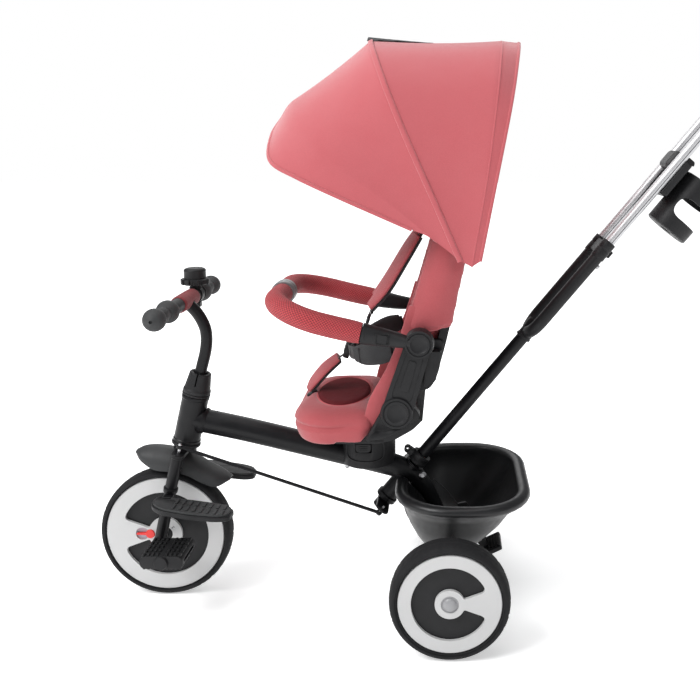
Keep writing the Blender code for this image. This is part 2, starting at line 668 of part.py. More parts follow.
def make_handle():
    """The steering shaft with its arm, the forked sleeve on top of it and the loop that slides in."""
    turn = joint_empty("handle_turn", on_handle(0))
    shaft = disc("push_tube", on_handle(0), HANDLE_AXIS, TUBE_R, -0.145, 0.318, 16, "black_metal")
    arm_outline = [
        on_handle(0, 0.0135 * math.cos(a), (0 if math.sin(a) > 0 else -STEER_ARM)
                  + 0.0105 * math.sin(a))
        for a in [math.radians(15 + 30 * i) for i in range(12)]
    ]
    arm = slab("guide_arm", arm_outline, -0.1300, -0.1250, HANDLE_AXIS)
    hole = disc("guide_arm_hole", on_handle(0, 0, -STEER_ARM), HANDLE_AXIS, 0.0058, -0.15, -0.11, 12)
    add(shaft, arm)
    cut(shaft, hole)

    collar = disc("handle_collar", on_handle(0), HANDLE_AXIS, 0.0185, 0.001, 0.021, 18, "black_plastic",
                  bore=TUBE_R + 0.0003)
    ear = block("guide_collar_ear", on_handle(0.011, -0.021), (0.012, 0.016, 0.014),
                tilt=math.pi / 2 - HANDLE_TILT, bevel=0.002)
    add(collar, ear)
    cut(collar, disc("guide_collar_bore", on_handle(0), HANDLE_AXIS, TUBE_R + 0.0003, -0.01, 0.04, 18))

    bend = HANDLE_HALF
    side = Vector((0, 1, 0))
    low = arc(on_handle(0.3385), side, -HANDLE_AXIS, bend, 0, 180, 8)
    legs = [on_handle(0.505, 0, bend), *low, on_handle(0.505, 0, -bend)]
    sleeve = swept("handle_sleeve", legs, 0.0116, 12, "black_plastic", start=HANDLE_BELOW)
    nose = disc("guide_sleeve_nose", on_handle(0), HANDLE_AXIS, 0.0148, 0.286, 0.3262, 16)
    nose_bore = disc("guide_nose_bore", on_handle(0), HANDLE_AXIS, TUBE_R + 0.0003, 0.27, 0.3185, 16)
    bridge = block("guide_sleeve_web", on_handle(0.507, 0.0, 0), (0.026, 0.070, 0.016),
                   tilt=-HANDLE_TILT)
    add(sleeve, nose, bridge)
    for name, y in (("left", bend), ("right", -bend)):
        add(sleeve, disc(f"guide_leg_collar_{name}", on_handle(0, 0, y), HANDLE_AXIS, 0.0130,
                         0.4886, 0.5242, 16))
    cut(sleeve, nose_bore)
    for name, y in (("left", bend), ("right", -bend)):
        cut(sleeve, disc(f"guide_leg_bore_{name}", on_handle(0, 0, y), HANDLE_AXIS, LOOP_R + 0.0004,
                         0.355, 0.54, 12))
    cut(sleeve, block("guide_lever_slot", on_handle(0.507, 0.0070, 0), (0.0155, 0.0285, 0.0135),
                      tilt=-HANDLE_TILT))
    release = block("height_lever", on_handle(0.507, 0.0115, 0), (0.0145, 0.0275, 0.0125),
                    "black_plastic", tilt=-HANDLE_TILT, bevel=0.002)

    slide = joint_empty("handle_slide", on_handle(0.525), turn)
    top = arc(on_handle(HANDLE_TOP), side, HANDLE_AXIS, bend, 0, 180, 8)
    loop_route = [on_handle(0.430, 0, bend), *top, on_handle(0.430, 0, -bend)]
    loop = swept("handle_loop", loop_route, LOOP_R, 12, "silver", start=HANDLE_BELOW)
    grip_route = [on_handle(HANDLE_TOP - 0.045, 0, bend), *top, on_handle(HANDLE_TOP - 0.045, 0, -bend)]
    grip = swept("handle_grip", grip_route, 0.0155, 12, "grip_rubber", bore=LOOP_R + 0.0005,
                 start=HANDLE_BELOW)
    brace = block("handle_bridge", on_handle(0.709, -0.003, 0), (0.042, 0.0660, 0.0150), "grey_plastic",
                  tilt=-HANDLE_TILT, bevel=0.005, segments=2)
    for name, y in (("left", bend), ("right", -bend)):
        cut(brace, disc(f"guide_brace_bore_{name}", on_handle(0, 0, y), HANDLE_AXIS, LOOP_R + 0.0004,
                        0.66, 0.76, 12))
    cup = make_cup_holder()
    hang(turn, shaft, collar, sleeve)
    hang(joint_empty("height_lever_press", on_handle(0.507, 0.0115), turn), release)
    hang(slide, loop, grip, brace, cup)
    return turn


def make_cup_holder():
    """A clip under the loop with an upright cup: a ring, a shallow floor and an open waist between."""
    centre, outer, wall = 0.0715, 0.0425, 0.0028
    saddle = block("cup_holder", on_handle(0.684, 0.0185, 0), (0.082, 0.088, 0.025), "black_plastic",
                   tilt=-HANDLE_TILT)
    profile = [
        (0.012, 0.6075), (outer - 0.001, 0.6075), (outer, 0.7120), (outer - wall, 0.7120),
        (outer - wall - 0.0005, 0.6105), (0.012, 0.6105),
    ]
    cup = turned("guide_cup", on_handle(0, centre), HANDLE_AXIS, profile, 22)
    clear = disc("guide_cup_inside", on_handle(0, centre), HANDLE_AXIS, outer - wall - 0.0002, 0.6112,
                 0.80, 22)
    add(saddle, cup)
    waist = [(0.1250, 0.6350), (0.0600, 0.6350), (0.0520, 0.6390), (0.0475, 0.6470), (0.0475, 0.6620),
             (0.0520, 0.6700), (0.0600, 0.6740), (0.1250, 0.6740)]
    window = slab("guide_cup_window", [on_handle(h, below) for below, h in waist], -0.07, 0.07, (0, 1, 0))
    cut(saddle, window, clear)
    for name, y in (("left", HANDLE_HALF), ("right", -HANDLE_HALF)):
        cut(saddle, disc(f"guide_saddle_{name}", on_handle(0, 0, y), HANDLE_AXIS, LOOP_R + 0.0004, 0.60,
                         0.78, 12))
    return saddle


# ---------------------------------------------------------------- seat
def make_seat(seat):
    """Shell, cushion and crotch strap, all turning on the swivel base."""
    shell_outline = [
        at(0.296, 0, 0.3445), at(0.284, 0, 0.352), at(0.42, 0, 0.3625), at(0.485, 0, 0.393),
        at(0.500, 0, 0.389), at(0.481, 0, 0.3700), at(0.450, 0, 0.352), at(0.42, 0, 0.3445),
    ]
    shell = slab("seat_shell", shell_outline, -0.126, 0.126, (0, 1, 0), "black_plastic")
    cheek_outline = [
        at(0.398, 0, 0.355), at(0.424, 0, 0.402), at(0.432, 0, 0.424), at(0.455, 0, 0.4355),
        at(0.478, 0, 0.424), at(0.492, 0, 0.407), at(0.4945, 0, 0.3985), at(0.475, 0, 0.3825),
        at(0.452, 0, 0.3700), at(0.430, 0, 0.3605),
    ]
    trim = []
    for sign in (1, -1):
        corner = [at(0.27, sign * 0.14, 0), at(0.27, sign * 0.06, 0), at(0.292, sign * 0.092, 0),
                  at(0.318, sign * 0.114, 0), at(0.352, sign * 0.1285, 0), at(0.352, sign * 0.14, 0)]
        trim.append(slab(f"guide_shell_corner_{sign > 0}", corner, 0.33, 0.40, (0, 0, 1)))
    socket = disc("guide_swivel_socket", at(SWIVEL_X, 0, 0), (0, 0, 1), 0.0206, 0.33, 0.3490, 20)
    cut(shell, *trim, socket)
    for name, side in SIDES:
        add(shell, slab(f"guide_cheek_{name}", cheek_outline, side * 0.124, side * 0.1450, (0, 1, 0)))

    rows = [
        (0.354, 0.338, 0.062, 0.116, 0.056), (0.3610, 0.3385, 0.0710, 0.127, 0.066),
        (0.372, 0.3385, 0.0775, 0.1345, 0.070), (0.389, 0.3405, 0.0735, 0.1320, 0.066),
        (0.401, 0.3430, 0.062, 0.118, 0.055),
    ]

    def cushion_mesh(bm):
        skin(bm, [[at(cx, 0, z) + p for p in rounded_rectangle(hx, hy, c)]
                  for z, cx, hx, hy, c in rows])

    cushion = new_object("seat_cushion", cushion_mesh, "coral_fabric")
    guard = slab("guide_cushion_base", [p + Vector((0, 0, 0.0008)) for p in shell_outline[1:4]]
                 + [at(0.485, 0, 0.33), at(0.284, 0, 0.33)], -0.15, 0.15, (0, 1, 0))
    cut(cushion, guard)
    strap_route = [at(0.2815, 0, 0.4055), at(0.290, 0, 0.420), at(0.312, 0, 0.446), at(0.338, 0, 0.468)]
    strap = swept("crotch_strap", strap_route, [0.014, 0.022, 0.024, 0.020], 8, "coral_fabric",
                  flat=0.26, start=(-0.8, 0, 0.6))
    hang(seat, shell, cushion, strap)


def make_back(back):
    """What reclines with the backrest: side arms, shell, wrapped liner and harness."""
    arms = []
    lean = Vector((BAR_HINGE[0] - RECLINE[0], 0, BAR_HINGE[1] - RECLINE[1])).normalized()
    across = Vector((lean.z, 0, -lean.x))
    low, high = at(RECLINE[0], 0, RECLINE[1]), at(BAR_HINGE[0], 0, BAR_HINGE[1])
    for name, side in SIDES:
        outline = [*arc(low, across, -lean, 0.0265, 0, 180, 6), *arc(high, -across, lean, 0.0225, 0, 180, 6)]
        arm = slab(f"side_arm_{name}", outline, side * 0.1462, side * 0.1545, (0, 1, 0), "black_plastic")
        cap = turned(f"guide_recline_cap_{name}", low, (0, side, 0),
                     [(0.0, 0.150), (0.0282, 0.150), (0.0282, 0.1545), (0.0258, 0.1575),
                      (0.0, 0.1580)], 18)
        arms.append(add(arm, cap))

    shell_side = [
        at(0.498, 0, 0.436), at(0.518, 0, 0.500), at(0.540, 0, 0.590), at(0.560, 0, 0.670),
        at(0.586, 0, 0.775), at(0.5945, 0, 0.773), at(0.5700, 0, 0.670), at(0.5480, 0, 0.575),
        at(0.5340, 0, 0.510), at(0.524, 0, 0.468), at(0.504, 0, 0.434),
    ]
    shell = slab("back_shell", shell_side, -0.118, 0.118, (0, 1, 0), "black_plastic")
    for name, side in SIDES:
        tab = slab(f"guide_back_tab_{name}",
                   [at(0.500, 0, 0.452), at(0.508, 0, 0.516), at(0.532, 0, 0.516), at(0.522, 0, 0.464)],
                   side * 0.110, side * 0.1459, (0, 1, 0))
        boss = disc(f"guide_canopy_boss_{name}", at(CANOPY_PIVOT[0], 0, CANOPY_PIVOT[1]), (0, side, 0),
                    0.011, 0.110, 0.1680, 12)
        add(shell, tab, boss)
    levels = [
        (0.4640, 0.4650, 0.4995, 0.105), (0.4600, 0.5080, 0.5100, 0.126), (0.4680, 0.5480, 0.5450, 0.142),
        (0.4900, 0.6200, 0.5560, 0.1435), (0.5160, 0.7080, 0.5750, 0.1435),
        (0.5330, 0.7650, 0.5800, 0.1350), (0.5480, 0.7880, 0.5790, 0.108),
    ]

    def liner_mesh(bm):
        rings = []
        for front, z, rear, half in levels:
            deep = rear - front
            outline = [(0.0, half - 0.020), (0.0, half * 0.80), (deep * 0.30, half * 0.62), (deep * 0.34, 0)]
            right = [(dx, -y) for dx, y in outline]
            face = [
                (deep, half - 0.010), (deep * 0.6, half), (deep * 0.2, half - 0.004), *outline[:3],
                outline[3], *right[2::-1], (deep * 0.2, -half + 0.004), (deep * 0.6, -half),
                (deep, -half + 0.010),
            ]
            rings.append([at(front + dx, y, z - dx * 0.24) for dx, y in face])
        skin(bm, rings)

    liner = new_object("backrest_cushion", liner_mesh, "coral_fabric")
    grown = [p + Vector((-0.0006, 0, 0)) for p in shell_side[:5]]
    guard = slab("guide_liner_back", [grown[0] + Vector((-0.002, 0, -0.02)), *grown,
                                      at(0.600, 0, 0.800), at(0.62, 0, 0.42)], -0.1186, 0.1186, (0, 1, 0))
    cut(liner, guard)
    for name, side in SIDES:
        cut(liner, disc(f"guide_liner_boss_{name}", at(CANOPY_PIVOT[0], 0, CANOPY_PIVOT[1]), (0, side, 0),
                        0.0130, 0.100, 0.1700, 12))
        cut(liner, slab(f"guide_liner_tab_{name}",
                        [at(0.495, 0, 0.440), at(0.504, 0, 0.518), at(0.545, 0, 0.518),
                         at(0.530, 0, 0.450)], side * 0.108, side * 0.1500, (0, 1, 0)))
    pads = []
    for name, side in SIDES:
        route = [at(0.4890, side * 0.055, 0.703), at(0.466, side * 0.056, 0.668),
                 at(0.432, side * 0.056, 0.612), at(0.404, side * 0.054, 0.575)]
        pads.append(swept(f"shoulder_pad_{name}", route, [0.014, 0.022, 0.023, 0.015], 8,
                          "coral_fabric", flat=0.24, start=(-0.85, 0, 0.5)))
    belt_route = spline([at(0.448, 0.117, 0.520), at(0.410, 0.098, 0.510), at(0.372, 0.050, 0.496),
                         at(0.357, 0, 0.490), at(0.372, -0.050, 0.496), at(0.410, -0.098, 0.510),
                         at(0.448, -0.117, 0.520)], 2)
    belt = swept("waist_belt", belt_route, 0.0175, 8, "webbing", flat=0.20, start=(1, 0.5, 0))
    hang(back, *arms, shell, liner, *pads, belt)


def make_bumper(bar):
    """The bar across the lap: a bent tube, a foam cover and a clasp, hinged at the arms' tops."""
    rise = [(0.4947, 0.5353), (0.440, 0.5430), (0.390, 0.5530), (0.325, 0.5680), (0.2385, 0.5930)]

    def height(x):
        for (x1, z1), (x2, z2) in zip(rise, rise[1:]):
            if x2 <= x <= x1:
                return z1 + (z2 - z1) * (x - x1) / (x2 - x1)
        return rise[-1][1]

    half, bend = 0.160, 0.090
    front_x = rise[-1][0]
    plan = [(BAR_HINGE[0] - 0.012, half + 0.0105), (0.445, half), (0.39, half),
            (front_x + bend + 0.03, half - 0.001)]
    for i in range(1, 5):
        a = math.radians(90 * i / 5)
        plan.append((front_x + bend * (1 - math.sin(a)), half - 0.001 - bend * (1 - math.cos(a))))
    plan.append((front_x, half - 0.001 - bend))
    left = [at(x, y, height(x)) for x, y in plan]
    route = left + [Vector((p.x, -p.y, p.z)) for p in left[::-1]]
    tube = swept("bumper_bar", route, 0.0110, 10, "black_plastic", start=(0, 0, 1))
    for name, side in SIDES:
        hinge = at(BAR_HINGE[0], 0, BAR_HINGE[1])
        cap = turned(f"guide_bar_cap_{name}", hinge, (0, side, 0),
                     [(0.0, 0.1552), (0.0240, 0.1552), (0.0252, 0.158), (0.0252, 0.174),
                      (0.0225, 0.179), (0.0, 0.1796)], 16)
        sleeve = swept(f"guide_bar_sleeve_{name}",
                       [at(x, side * y, height(x)) for x, y in
                        ((0.476, half + 0.0098), (0.445, half + 0.001), (0.392, half))],
                       [0.0095, 0.0140, 0.0165], 10, start=(0, 0, 1))
        add(tube, cap, sleeve)
    ends = [at(0.3905, y, height(0.3905)) for y in (half, -half)]
    foam = swept("bumper_foam", [ends[0], *route[3:-3], ends[1]], 0.0195, 12, "red_foam",
                 bore=0.0114, start=(0, 0, 1))
    clasp = disc("bumper_clasp", at(front_x, 0, height(front_x)), (0, 1, 0), 0.0222, -0.015, 0.015, 18,
                 "silver", bore=0.0202)
    hang(bar, tube, foam, clasp)


# ---------------------------------------------------------------- canopy
CANOPY_LINES = {
    "rear": [(0.6010, 0.180, 0.6900), (0.6200, 0.180, 0.800), (0.6385, 0.175, 0.895), (0.6500, 0.155, 0.955),
             (0.6600, 0.110, 1.013), (0.6650, 0.055, 1.036), (0.6665, 0.0, 1.0400)],
    "band": [(0.5880, 0.181, 0.6670), (0.6050, 0.182, 0.800), (0.6180, 0.178, 0.900), (0.6260, 0.160, 0.970),
             (0.6320, 0.115, 1.021), (0.6350, 0.060, 1.039), (0.6350, 0.0, 1.0440)],
    "middle": [(0.5630, 0.181, 0.6760), (0.5200, 0.182, 0.775), (0.4780, 0.180, 0.870), (0.4450, 0.168, 0.950),
               (0.4230, 0.130, 1.007), (0.4110, 0.070, 1.037), (0.4090, 0.0, 1.0450)],
    "front": [(0.5100, 0.179, 0.7180), (0.4480, 0.181, 0.762), (0.3800, 0.179, 0.808), (0.3200, 0.166, 0.850),
              (0.2750, 0.130, 0.895), (0.2560, 0.070, 0.9220), (0.2520, 0.0, 0.9290)],
    "hem": [(0.4840, 0.178, 0.7280), (0.4300, 0.180, 0.750), (0.3600, 0.178, 0.780), (0.2960, 0.168, 0.808),
            (0.2540, 0.146, 0.832), (0.2420, 0.085, 0.876), (0.2345, 0.0, 0.9060)],
}


def canopy_curve(line, inset=0.0, steps=10):
    """Points over the canopy from its right side to its left along one of its bows or hems."""
    half = spline([Vector(point) for point in CANOPY_LINES[line]], 8)
    lengths = [0.0]
    for a, b in zip(half, half[1:]):
        lengths.append(lengths[-1] + (b - a).length)
    even = []
    for i in range(steps + 1):
        goal = lengths[-1] * i / steps
        k = max(j for j in range(len(half) - 1) if lengths[j] <= goal + 1e-9)
        part = (goal - lengths[k]) / (lengths[k + 1] - lengths[k])
        even.append(half[k].lerp(half[k + 1], min(1.0, part)))
    placed = []
    for point in even:
        away = point - Vector((point.x, 0, min(point.z, 0.90)))
        away.x = 0
        across = Vector((0, away.y, away.z)).normalized() if away.length > 1e-9 else Vector((0, 0, 1))
        placed.append(point - across * inset)
    right = [at(p.x, -p.y, p.z) for p in placed]
    left = [at(p.x, p.y, p.z) for p in placed[:-1]]
    return right + left[::-1]


def canopy_panel(name, lines, gap=0.0, material="coral_fabric", thickness=0.0024):
    """A closed sheet stretched over the named lines, its first line drawn forward by the gap."""

    def build(bm):
        rows = [canopy_curve(line) + canopy_curve(line, thickness)[::-1] for line in lines]
        rows[0] = [point - Vector((gap, 0, 0)) for point in rows[0]]
        skin(bm, rows)

    return new_object(name, build, material)


def make_canopy(back, middle, front):
    rear_panel = canopy_panel("canopy_rear_panel", ("rear", "band", "middle"))
    curtain = slab("guide_canopy_back", canopy_curve("rear", 0.0012), 0.0, 0.0026, (-1, 0, 0.2))
    front_panel = canopy_panel("canopy_front_panel", ("middle", "front"), 0.0008)
    visor = canopy_panel("canopy_visor", ("front", "hem"), 0.0010)
    add(rear_panel, curtain)
    hang(back, rear_panel)
    hang(middle, front_panel)
    hang(front, visor)


def main():
    for obj in list(bpy.data.objects):
        bpy.data.objects.remove(obj)
    steer = joint_empty("steer", FRONT_AXLE)
    way, radii = make_frame()
    make_basket(way, radii)
    make_swivel_base(way, radii)
    make_brake()
    make_fork(steer)
    make_fender(steer)
    make_footrests(steer)
    make_front_wheel(steer)
    make_rear_wheels()
    handle = make_handle()
    make_linkage(steer, handle)
    seat = joint_empty("seat_swivel", at(SWIVEL_X, 0, 0.343))
    back = joint_empty("recline", at(RECLINE[0], 0, RECLINE[1]), seat)
    bar = joint_empty("bar_swing", at(BAR_HINGE[0], 0, BAR_HINGE[1]), back)
    make_seat(seat)
    make_back(back)
    make_bumper(bar)
    pivot = at(CANOPY_PIVOT[0], 0, CANOPY_PIVOT[1])
    middle = joint_empty("canopy_middle_fold", pivot, back)
    front = joint_empty("canopy_front_fold", pivot, middle)
    make_canopy(back, middle, front)


main()
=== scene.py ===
"""The looks of the push-along tricycle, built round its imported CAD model.

Metres, +Z up; the tricycle faces -X. Lengths along X in at() are measured back from the front axle."""

import json
import math

import bmesh
import bpy
from mathutils import Matrix, Vector
from mathutils.bvhtree import BVHTree


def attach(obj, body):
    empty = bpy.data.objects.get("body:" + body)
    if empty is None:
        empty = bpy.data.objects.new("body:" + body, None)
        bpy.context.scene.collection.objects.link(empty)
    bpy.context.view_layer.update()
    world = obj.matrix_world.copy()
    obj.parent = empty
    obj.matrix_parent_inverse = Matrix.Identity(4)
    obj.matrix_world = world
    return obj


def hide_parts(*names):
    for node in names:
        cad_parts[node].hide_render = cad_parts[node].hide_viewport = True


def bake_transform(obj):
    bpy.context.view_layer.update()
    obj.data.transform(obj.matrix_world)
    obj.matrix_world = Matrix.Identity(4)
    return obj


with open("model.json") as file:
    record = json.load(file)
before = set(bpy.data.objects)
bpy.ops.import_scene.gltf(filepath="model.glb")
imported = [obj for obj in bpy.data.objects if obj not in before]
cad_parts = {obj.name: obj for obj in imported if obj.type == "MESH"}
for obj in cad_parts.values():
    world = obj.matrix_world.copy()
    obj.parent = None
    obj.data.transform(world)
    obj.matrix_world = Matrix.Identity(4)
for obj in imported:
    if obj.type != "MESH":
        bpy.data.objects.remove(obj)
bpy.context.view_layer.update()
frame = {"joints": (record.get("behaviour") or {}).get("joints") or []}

scene = bpy.context.scene

# ---------------------------------------------------------------- places read from the frame
PIVOT = {j["name"]: Vector(j["pos_m"]) for j in frame["joints"] if j.get("pos_m")}
TURN = {j["name"]: Vector(j["axis"]).normalized() for j in frame["joints"]}
FRONT_AXLE = PIVOT["front_wheel_spin"]
REAR_AXLE = (PIVOT["rear_wheel_spin_left"] + PIVOT["rear_wheel_spin_right"]) / 2
STEER_AXIS = TURN["steer"]
STEER_ACROSS = Vector((STEER_AXIS.z, 0, -STEER_AXIS.x))
HANDLE_AXIS = TURN["handle_turn"]
HANDLE_BELOW = Vector((HANDLE_AXIS.z, 0, -HANDLE_AXIS.x))
HANDLE_FOOT = PIVOT["handle_turn"]
X = Vector((1, 0, 0))
Y = Vector((0, 1, 0))
Z = Vector((0, 0, 1))
SIDES = (("left", 1), ("right", -1))

# ---------------------------------------------------------------- sizes shared with the CAD model
FORK_HALF = 0.048
STEER_ARM = 0.045
HANDLE_HALF = 0.037
HANDLE_TOP = 0.8716
LOOP_R = 0.0092
TUBE_R = 0.012
HANDLE_TILT = math.radians(50.5)
CANOPY_MIDDLE_Z = 0.8
CLOTH_THICK = 0.0016
WEB_THICK = 0.0016


def at(x, y, z):
    """A point x behind the front axle, y across and z above the floor."""
    return Vector((FRONT_AXLE.x + x, y, z))


def on_steer(h, across=0.0, y=0.0):
    """A point h up the steering axis from the front axle, and so far behind it."""
    return FRONT_AXLE + STEER_AXIS * h + STEER_ACROSS * across + Y * y


def on_handle(s, below=0.0, y=0.0):
    """A point s up the push handle's axis from its foot, and so far below it."""
    return HANDLE_FOOT + HANDLE_AXIS * s + HANDLE_BELOW * below + Y * y


CANOPY_KNOB = at(0.575, 0, 0.6865)
BAR_HINGE = at(0.4947, 0, 0.5353)


# ---------------------------------------------------------------- camera, floor and light
def make_stage():
    camera = bpy.data.objects.new("camera", bpy.data.cameras.new("camera"))
    camera.location = at(0.5469, -1.5813, 0.8784)
    camera.rotation_euler = (math.radians(81.193), 0, 0)
    camera.data.sensor_width = 36
    camera.data.lens = 44.5
    camera.data.shift_x = -0.1434
    camera.data.shift_y = -0.1137
    scene.collection.objects.link(camera)
    scene.camera = camera

    # The camera sees white behind the floor; the object gets a dimmer room light.
    world = bpy.data.worlds.new("studio")
    world.use_nodes = True
    sky = world.node_tree
    backdrop, output = sky.nodes["Background"], sky.nodes["World Output"]
    backdrop.inputs["Color"].default_value = (1.0, 1.0, 1.0, 1)
    backdrop.inputs["Strength"].default_value = 1.0
    room = node(sky, "ShaderNodeBackground")
    room.inputs["Color"].default_value = (0.96, 0.98, 1.0, 1)
    room.inputs["Strength"].default_value = 0.29
    either = node(sky, "ShaderNodeMixShader")
    sky.links.new(node(sky, "ShaderNodeLightPath").outputs["Is Camera Ray"], either.inputs[0])
    sky.links.new(room.outputs[0], either.inputs[1])
    sky.links.new(backdrop.outputs[0], either.inputs[2])
    sky.links.new(either.outputs[0], output.inputs["Surface"])
    scene.world = world
    scene.view_settings.view_transform = "Standard"

    bpy.ops.mesh.primitive_plane_add(size=30)
    floor = bpy.context.object
    floor.name = "floor"
    pale = bpy.data.materials.new("pale_floor")
    pale.use_nodes = True
    shader = pale.node_tree.nodes["Principled BSDF"]
    shader.inputs["Base Color"].default_value = (0.97, 0.97, 0.97, 1)
    shader.inputs["Roughness"].default_value = 0.95
    shader.inputs["Specular IOR Level"].default_value = 0.1
    shader.inputs["Emission Color"].default_value = (1.0, 1.0, 1.0, 1)
    place = node(pale.node_tree, "ShaderNodeTexCoord").outputs["Object"]
    far = node(pale.node_tree, "ShaderNodeVectorMath", operation="LENGTH")
    pale.node_tree.links.new(place, far.inputs[0])
    glow = ranged(pale.node_tree, far.outputs["Value"], 0.45, 1.0, 0.5, 1.8)
    pale.node_tree.links.new(glow, shader.inputs["Emission Strength"])
    floor.data.materials.append(pale)

    lamps = (
        ("key", (-2.3, -1.7, 3.1), 1.8, 122),
        ("fill", (1.6, -2.8, 1.6), 2.0, 7),
        ("top", (-0.2, 0.2, 3.2), 2.6, 48),
        ("rim", (-0.6, 2.6, 1.9), 2.0, 20),
    )
    for name, place, size, power in lamps:
        lamp = bpy.data.objects.new(name, bpy.data.lights.new(name, "AREA"))
        lamp.data.size = size
        lamp.data.energy = power
        lamp.location = place
        lamp.rotation_euler = (Vector((0.0, 0.0, 0.5)) - Vector(place)).to_track_quat("-Z", "Y").to_euler()
        scene.collection.objects.link(lamp)


# ---------------------------------------------------------------- materials
def node(tree, kind, **settings):
    made = tree.nodes.new(kind)
    for key, value in settings.items():
        setattr(made, key, value)
    return made


def maths(tree, operation, first, second=None):
    """A Math node, whose inputs are sockets or numbers."""
    made = node(tree, "ShaderNodeMath", operation=operation)
    for i, value in enumerate((first, second)):
        if value is None:
            continue
        if isinstance(value, (int, float)):
            made.inputs[i].default_value = value
        else:
            tree.links.new(value, made.inputs[i])
    return made.outputs[0]


def noise_at(tree, scale, detail=3.0, roughness=0.55, stretch=None):
    """Noise in the object's own metres, stretched along an axis where it is brushed."""
    coordinates = node(tree, "ShaderNodeTexCoord").outputs["Object"]
    if stretch:
        mapping = node(tree, "ShaderNodeMapping")
        mapping.inputs["Scale"].default_value = stretch
        tree.links.new(coordinates, mapping.inputs["Vector"])
        coordinates = mapping.outputs["Vector"]
    made = node(tree, "ShaderNodeTexNoise")
    made.inputs["Scale"].default_value = scale
    made.inputs["Detail"].default_value = detail
    made.inputs["Roughness"].default_value = roughness
    tree.links.new(coordinates, made.inputs["Vector"])
    return made.outputs["Fac"]


def ranged(tree, value, low, high, bottom=0.3, top=0.7):
    made = node(tree, "ShaderNodeMapRange")
    for key, number in (("From Min", bottom), ("From Max", top), ("To Min", low), ("To Max", high)):
        made.inputs[key].default_value = number
    tree.links.new(value, made.inputs["Value"])
    return made.outputs["Result"]


def tinted(tree, factor, dark, light):
    made = node(tree, "ShaderNodeMix", data_type="RGBA")
    made.inputs[6].default_value = (*dark, 1)
    made.inputs[7].default_value = (*light, 1)
    tree.links.new(factor, made.inputs[0])
    return made.outputs[2]


def bumped(tree, height, strength, distance, below=None):
    made = node(tree, "ShaderNodeBump")
    made.inputs["Strength"].default_value = strength
    made.inputs["Distance"].default_value = distance
    tree.links.new(height, made.inputs["Height"])
    if below:
        tree.links.new(below, made.inputs["Normal"])
    return made.outputs["Normal"]


def weave_height(tree, kind, pitch):
    """Height of a woven or knitted face from its UV map, which is in metres."""
    split = node(tree, "ShaderNodeSeparateXYZ")
    tree.links.new(node(tree, "ShaderNodeUVMap", uv_map="cloth").outputs["UV"], split.inputs[0])
    across, along = split.outputs[0], split.outputs[1]
    turn = 2 * math.pi / pitch
    if kind == "rib":
        return maths(tree, "SINE", maths(tree, "MULTIPLY", along, turn))
    if kind == "knit":
        first, second = maths(tree, "ADD", across, along), maths(tree, "SUBTRACT", across, along)
        across, along, turn = first, second, turn / 2
        waves = [maths(tree, "ABSOLUTE", maths(tree, "SINE", maths(tree, "MULTIPLY", v, turn)))
                 for v in (across, along)]
        return maths(tree, "MULTIPLY", waves[0], waves[1])
    waves = [maths(tree, "SINE", maths(tree, "MULTIPLY", v, turn)) for v in (across, along)]
    return maths(tree, "MULTIPLY", waves[0], waves[1])


def surface(name, colour, roughness, metallic=0.0, grain=0.15, grain_scale=900, vary=0.12, patch=14,
            sheen=0.0, weave=None, hole=None, brushed=None, specular=0.5):
    """A material with patchy colour and gloss, a fine grain and, on cloth, its weave: the kind, the pitch,
    the strength and the depth. The weave's low parts are painted darker as painted shade between the threads.
    hole is the colour seen through a knit: the layer beneath, with painted shade on it."""
    made = bpy.data.materials.new(name)
    made.use_nodes = True
    tree = made.node_tree
    shader = tree.nodes["Principled BSDF"]
    shader.inputs["Metallic"].default_value = metallic
    shader.inputs["Specular IOR Level"].default_value = specular
    shader.inputs["Sheen Weight"].default_value = sheen
    shader.inputs["Sheen Roughness"].default_value = 0.5
    patches = noise_at(tree, patch, 4)
    dark = tuple(c * (1 - vary) for c in colour)
    light = tuple(min(1.0, c * (1 + vary)) for c in colour)
    base = tinted(tree, ranged(tree, patches, 0, 1), dark, light)
    rough = ranged(tree, noise_at(tree, patch * 5, 5), max(0.05, roughness - 0.06), roughness + 0.06)
    tree.links.new(rough, shader.inputs["Roughness"])
    normal = bumped(tree, noise_at(tree, grain_scale, 2, 0.5, brushed), grain, 0.0004)
    if weave:
        kind, pitch, strength, depth = weave
        height = weave_height(tree, kind, pitch)
        threads = noise_at(tree, 0.7 / pitch, 2, 0.6)
        raised = ranged(tree, height, 0, 1, 0 if kind == "knit" else -1, 0.6 if kind == "knit" else 1)
        # The low parts of the weave are tinted darker: painted shade between the threads and in the knit's holes.
        low = hole or tuple(c * 0.8 for c in colour)
        shade = tinted(tree, raised, low, light)
        mix = node(tree, "ShaderNodeMix", data_type="RGBA", blend_type="MULTIPLY")
        mix.inputs[0].default_value = 0.5
        tree.links.new(shade, mix.inputs[6])
        grey = tinted(tree, ranged(tree, threads, 0, 1), (0.82, 0.82, 0.82), (1, 1, 1))
        tree.links.new(grey, mix.inputs[7])
        base = mix.outputs[2]
        normal = bumped(tree, maths(tree, "ADD", raised, maths(tree, "MULTIPLY", threads, 0.4)),
                        strength, depth, normal)
    tree.links.new(base, shader.inputs["Base Color"])
    tree.links.new(normal, shader.inputs["Normal"])
    return made


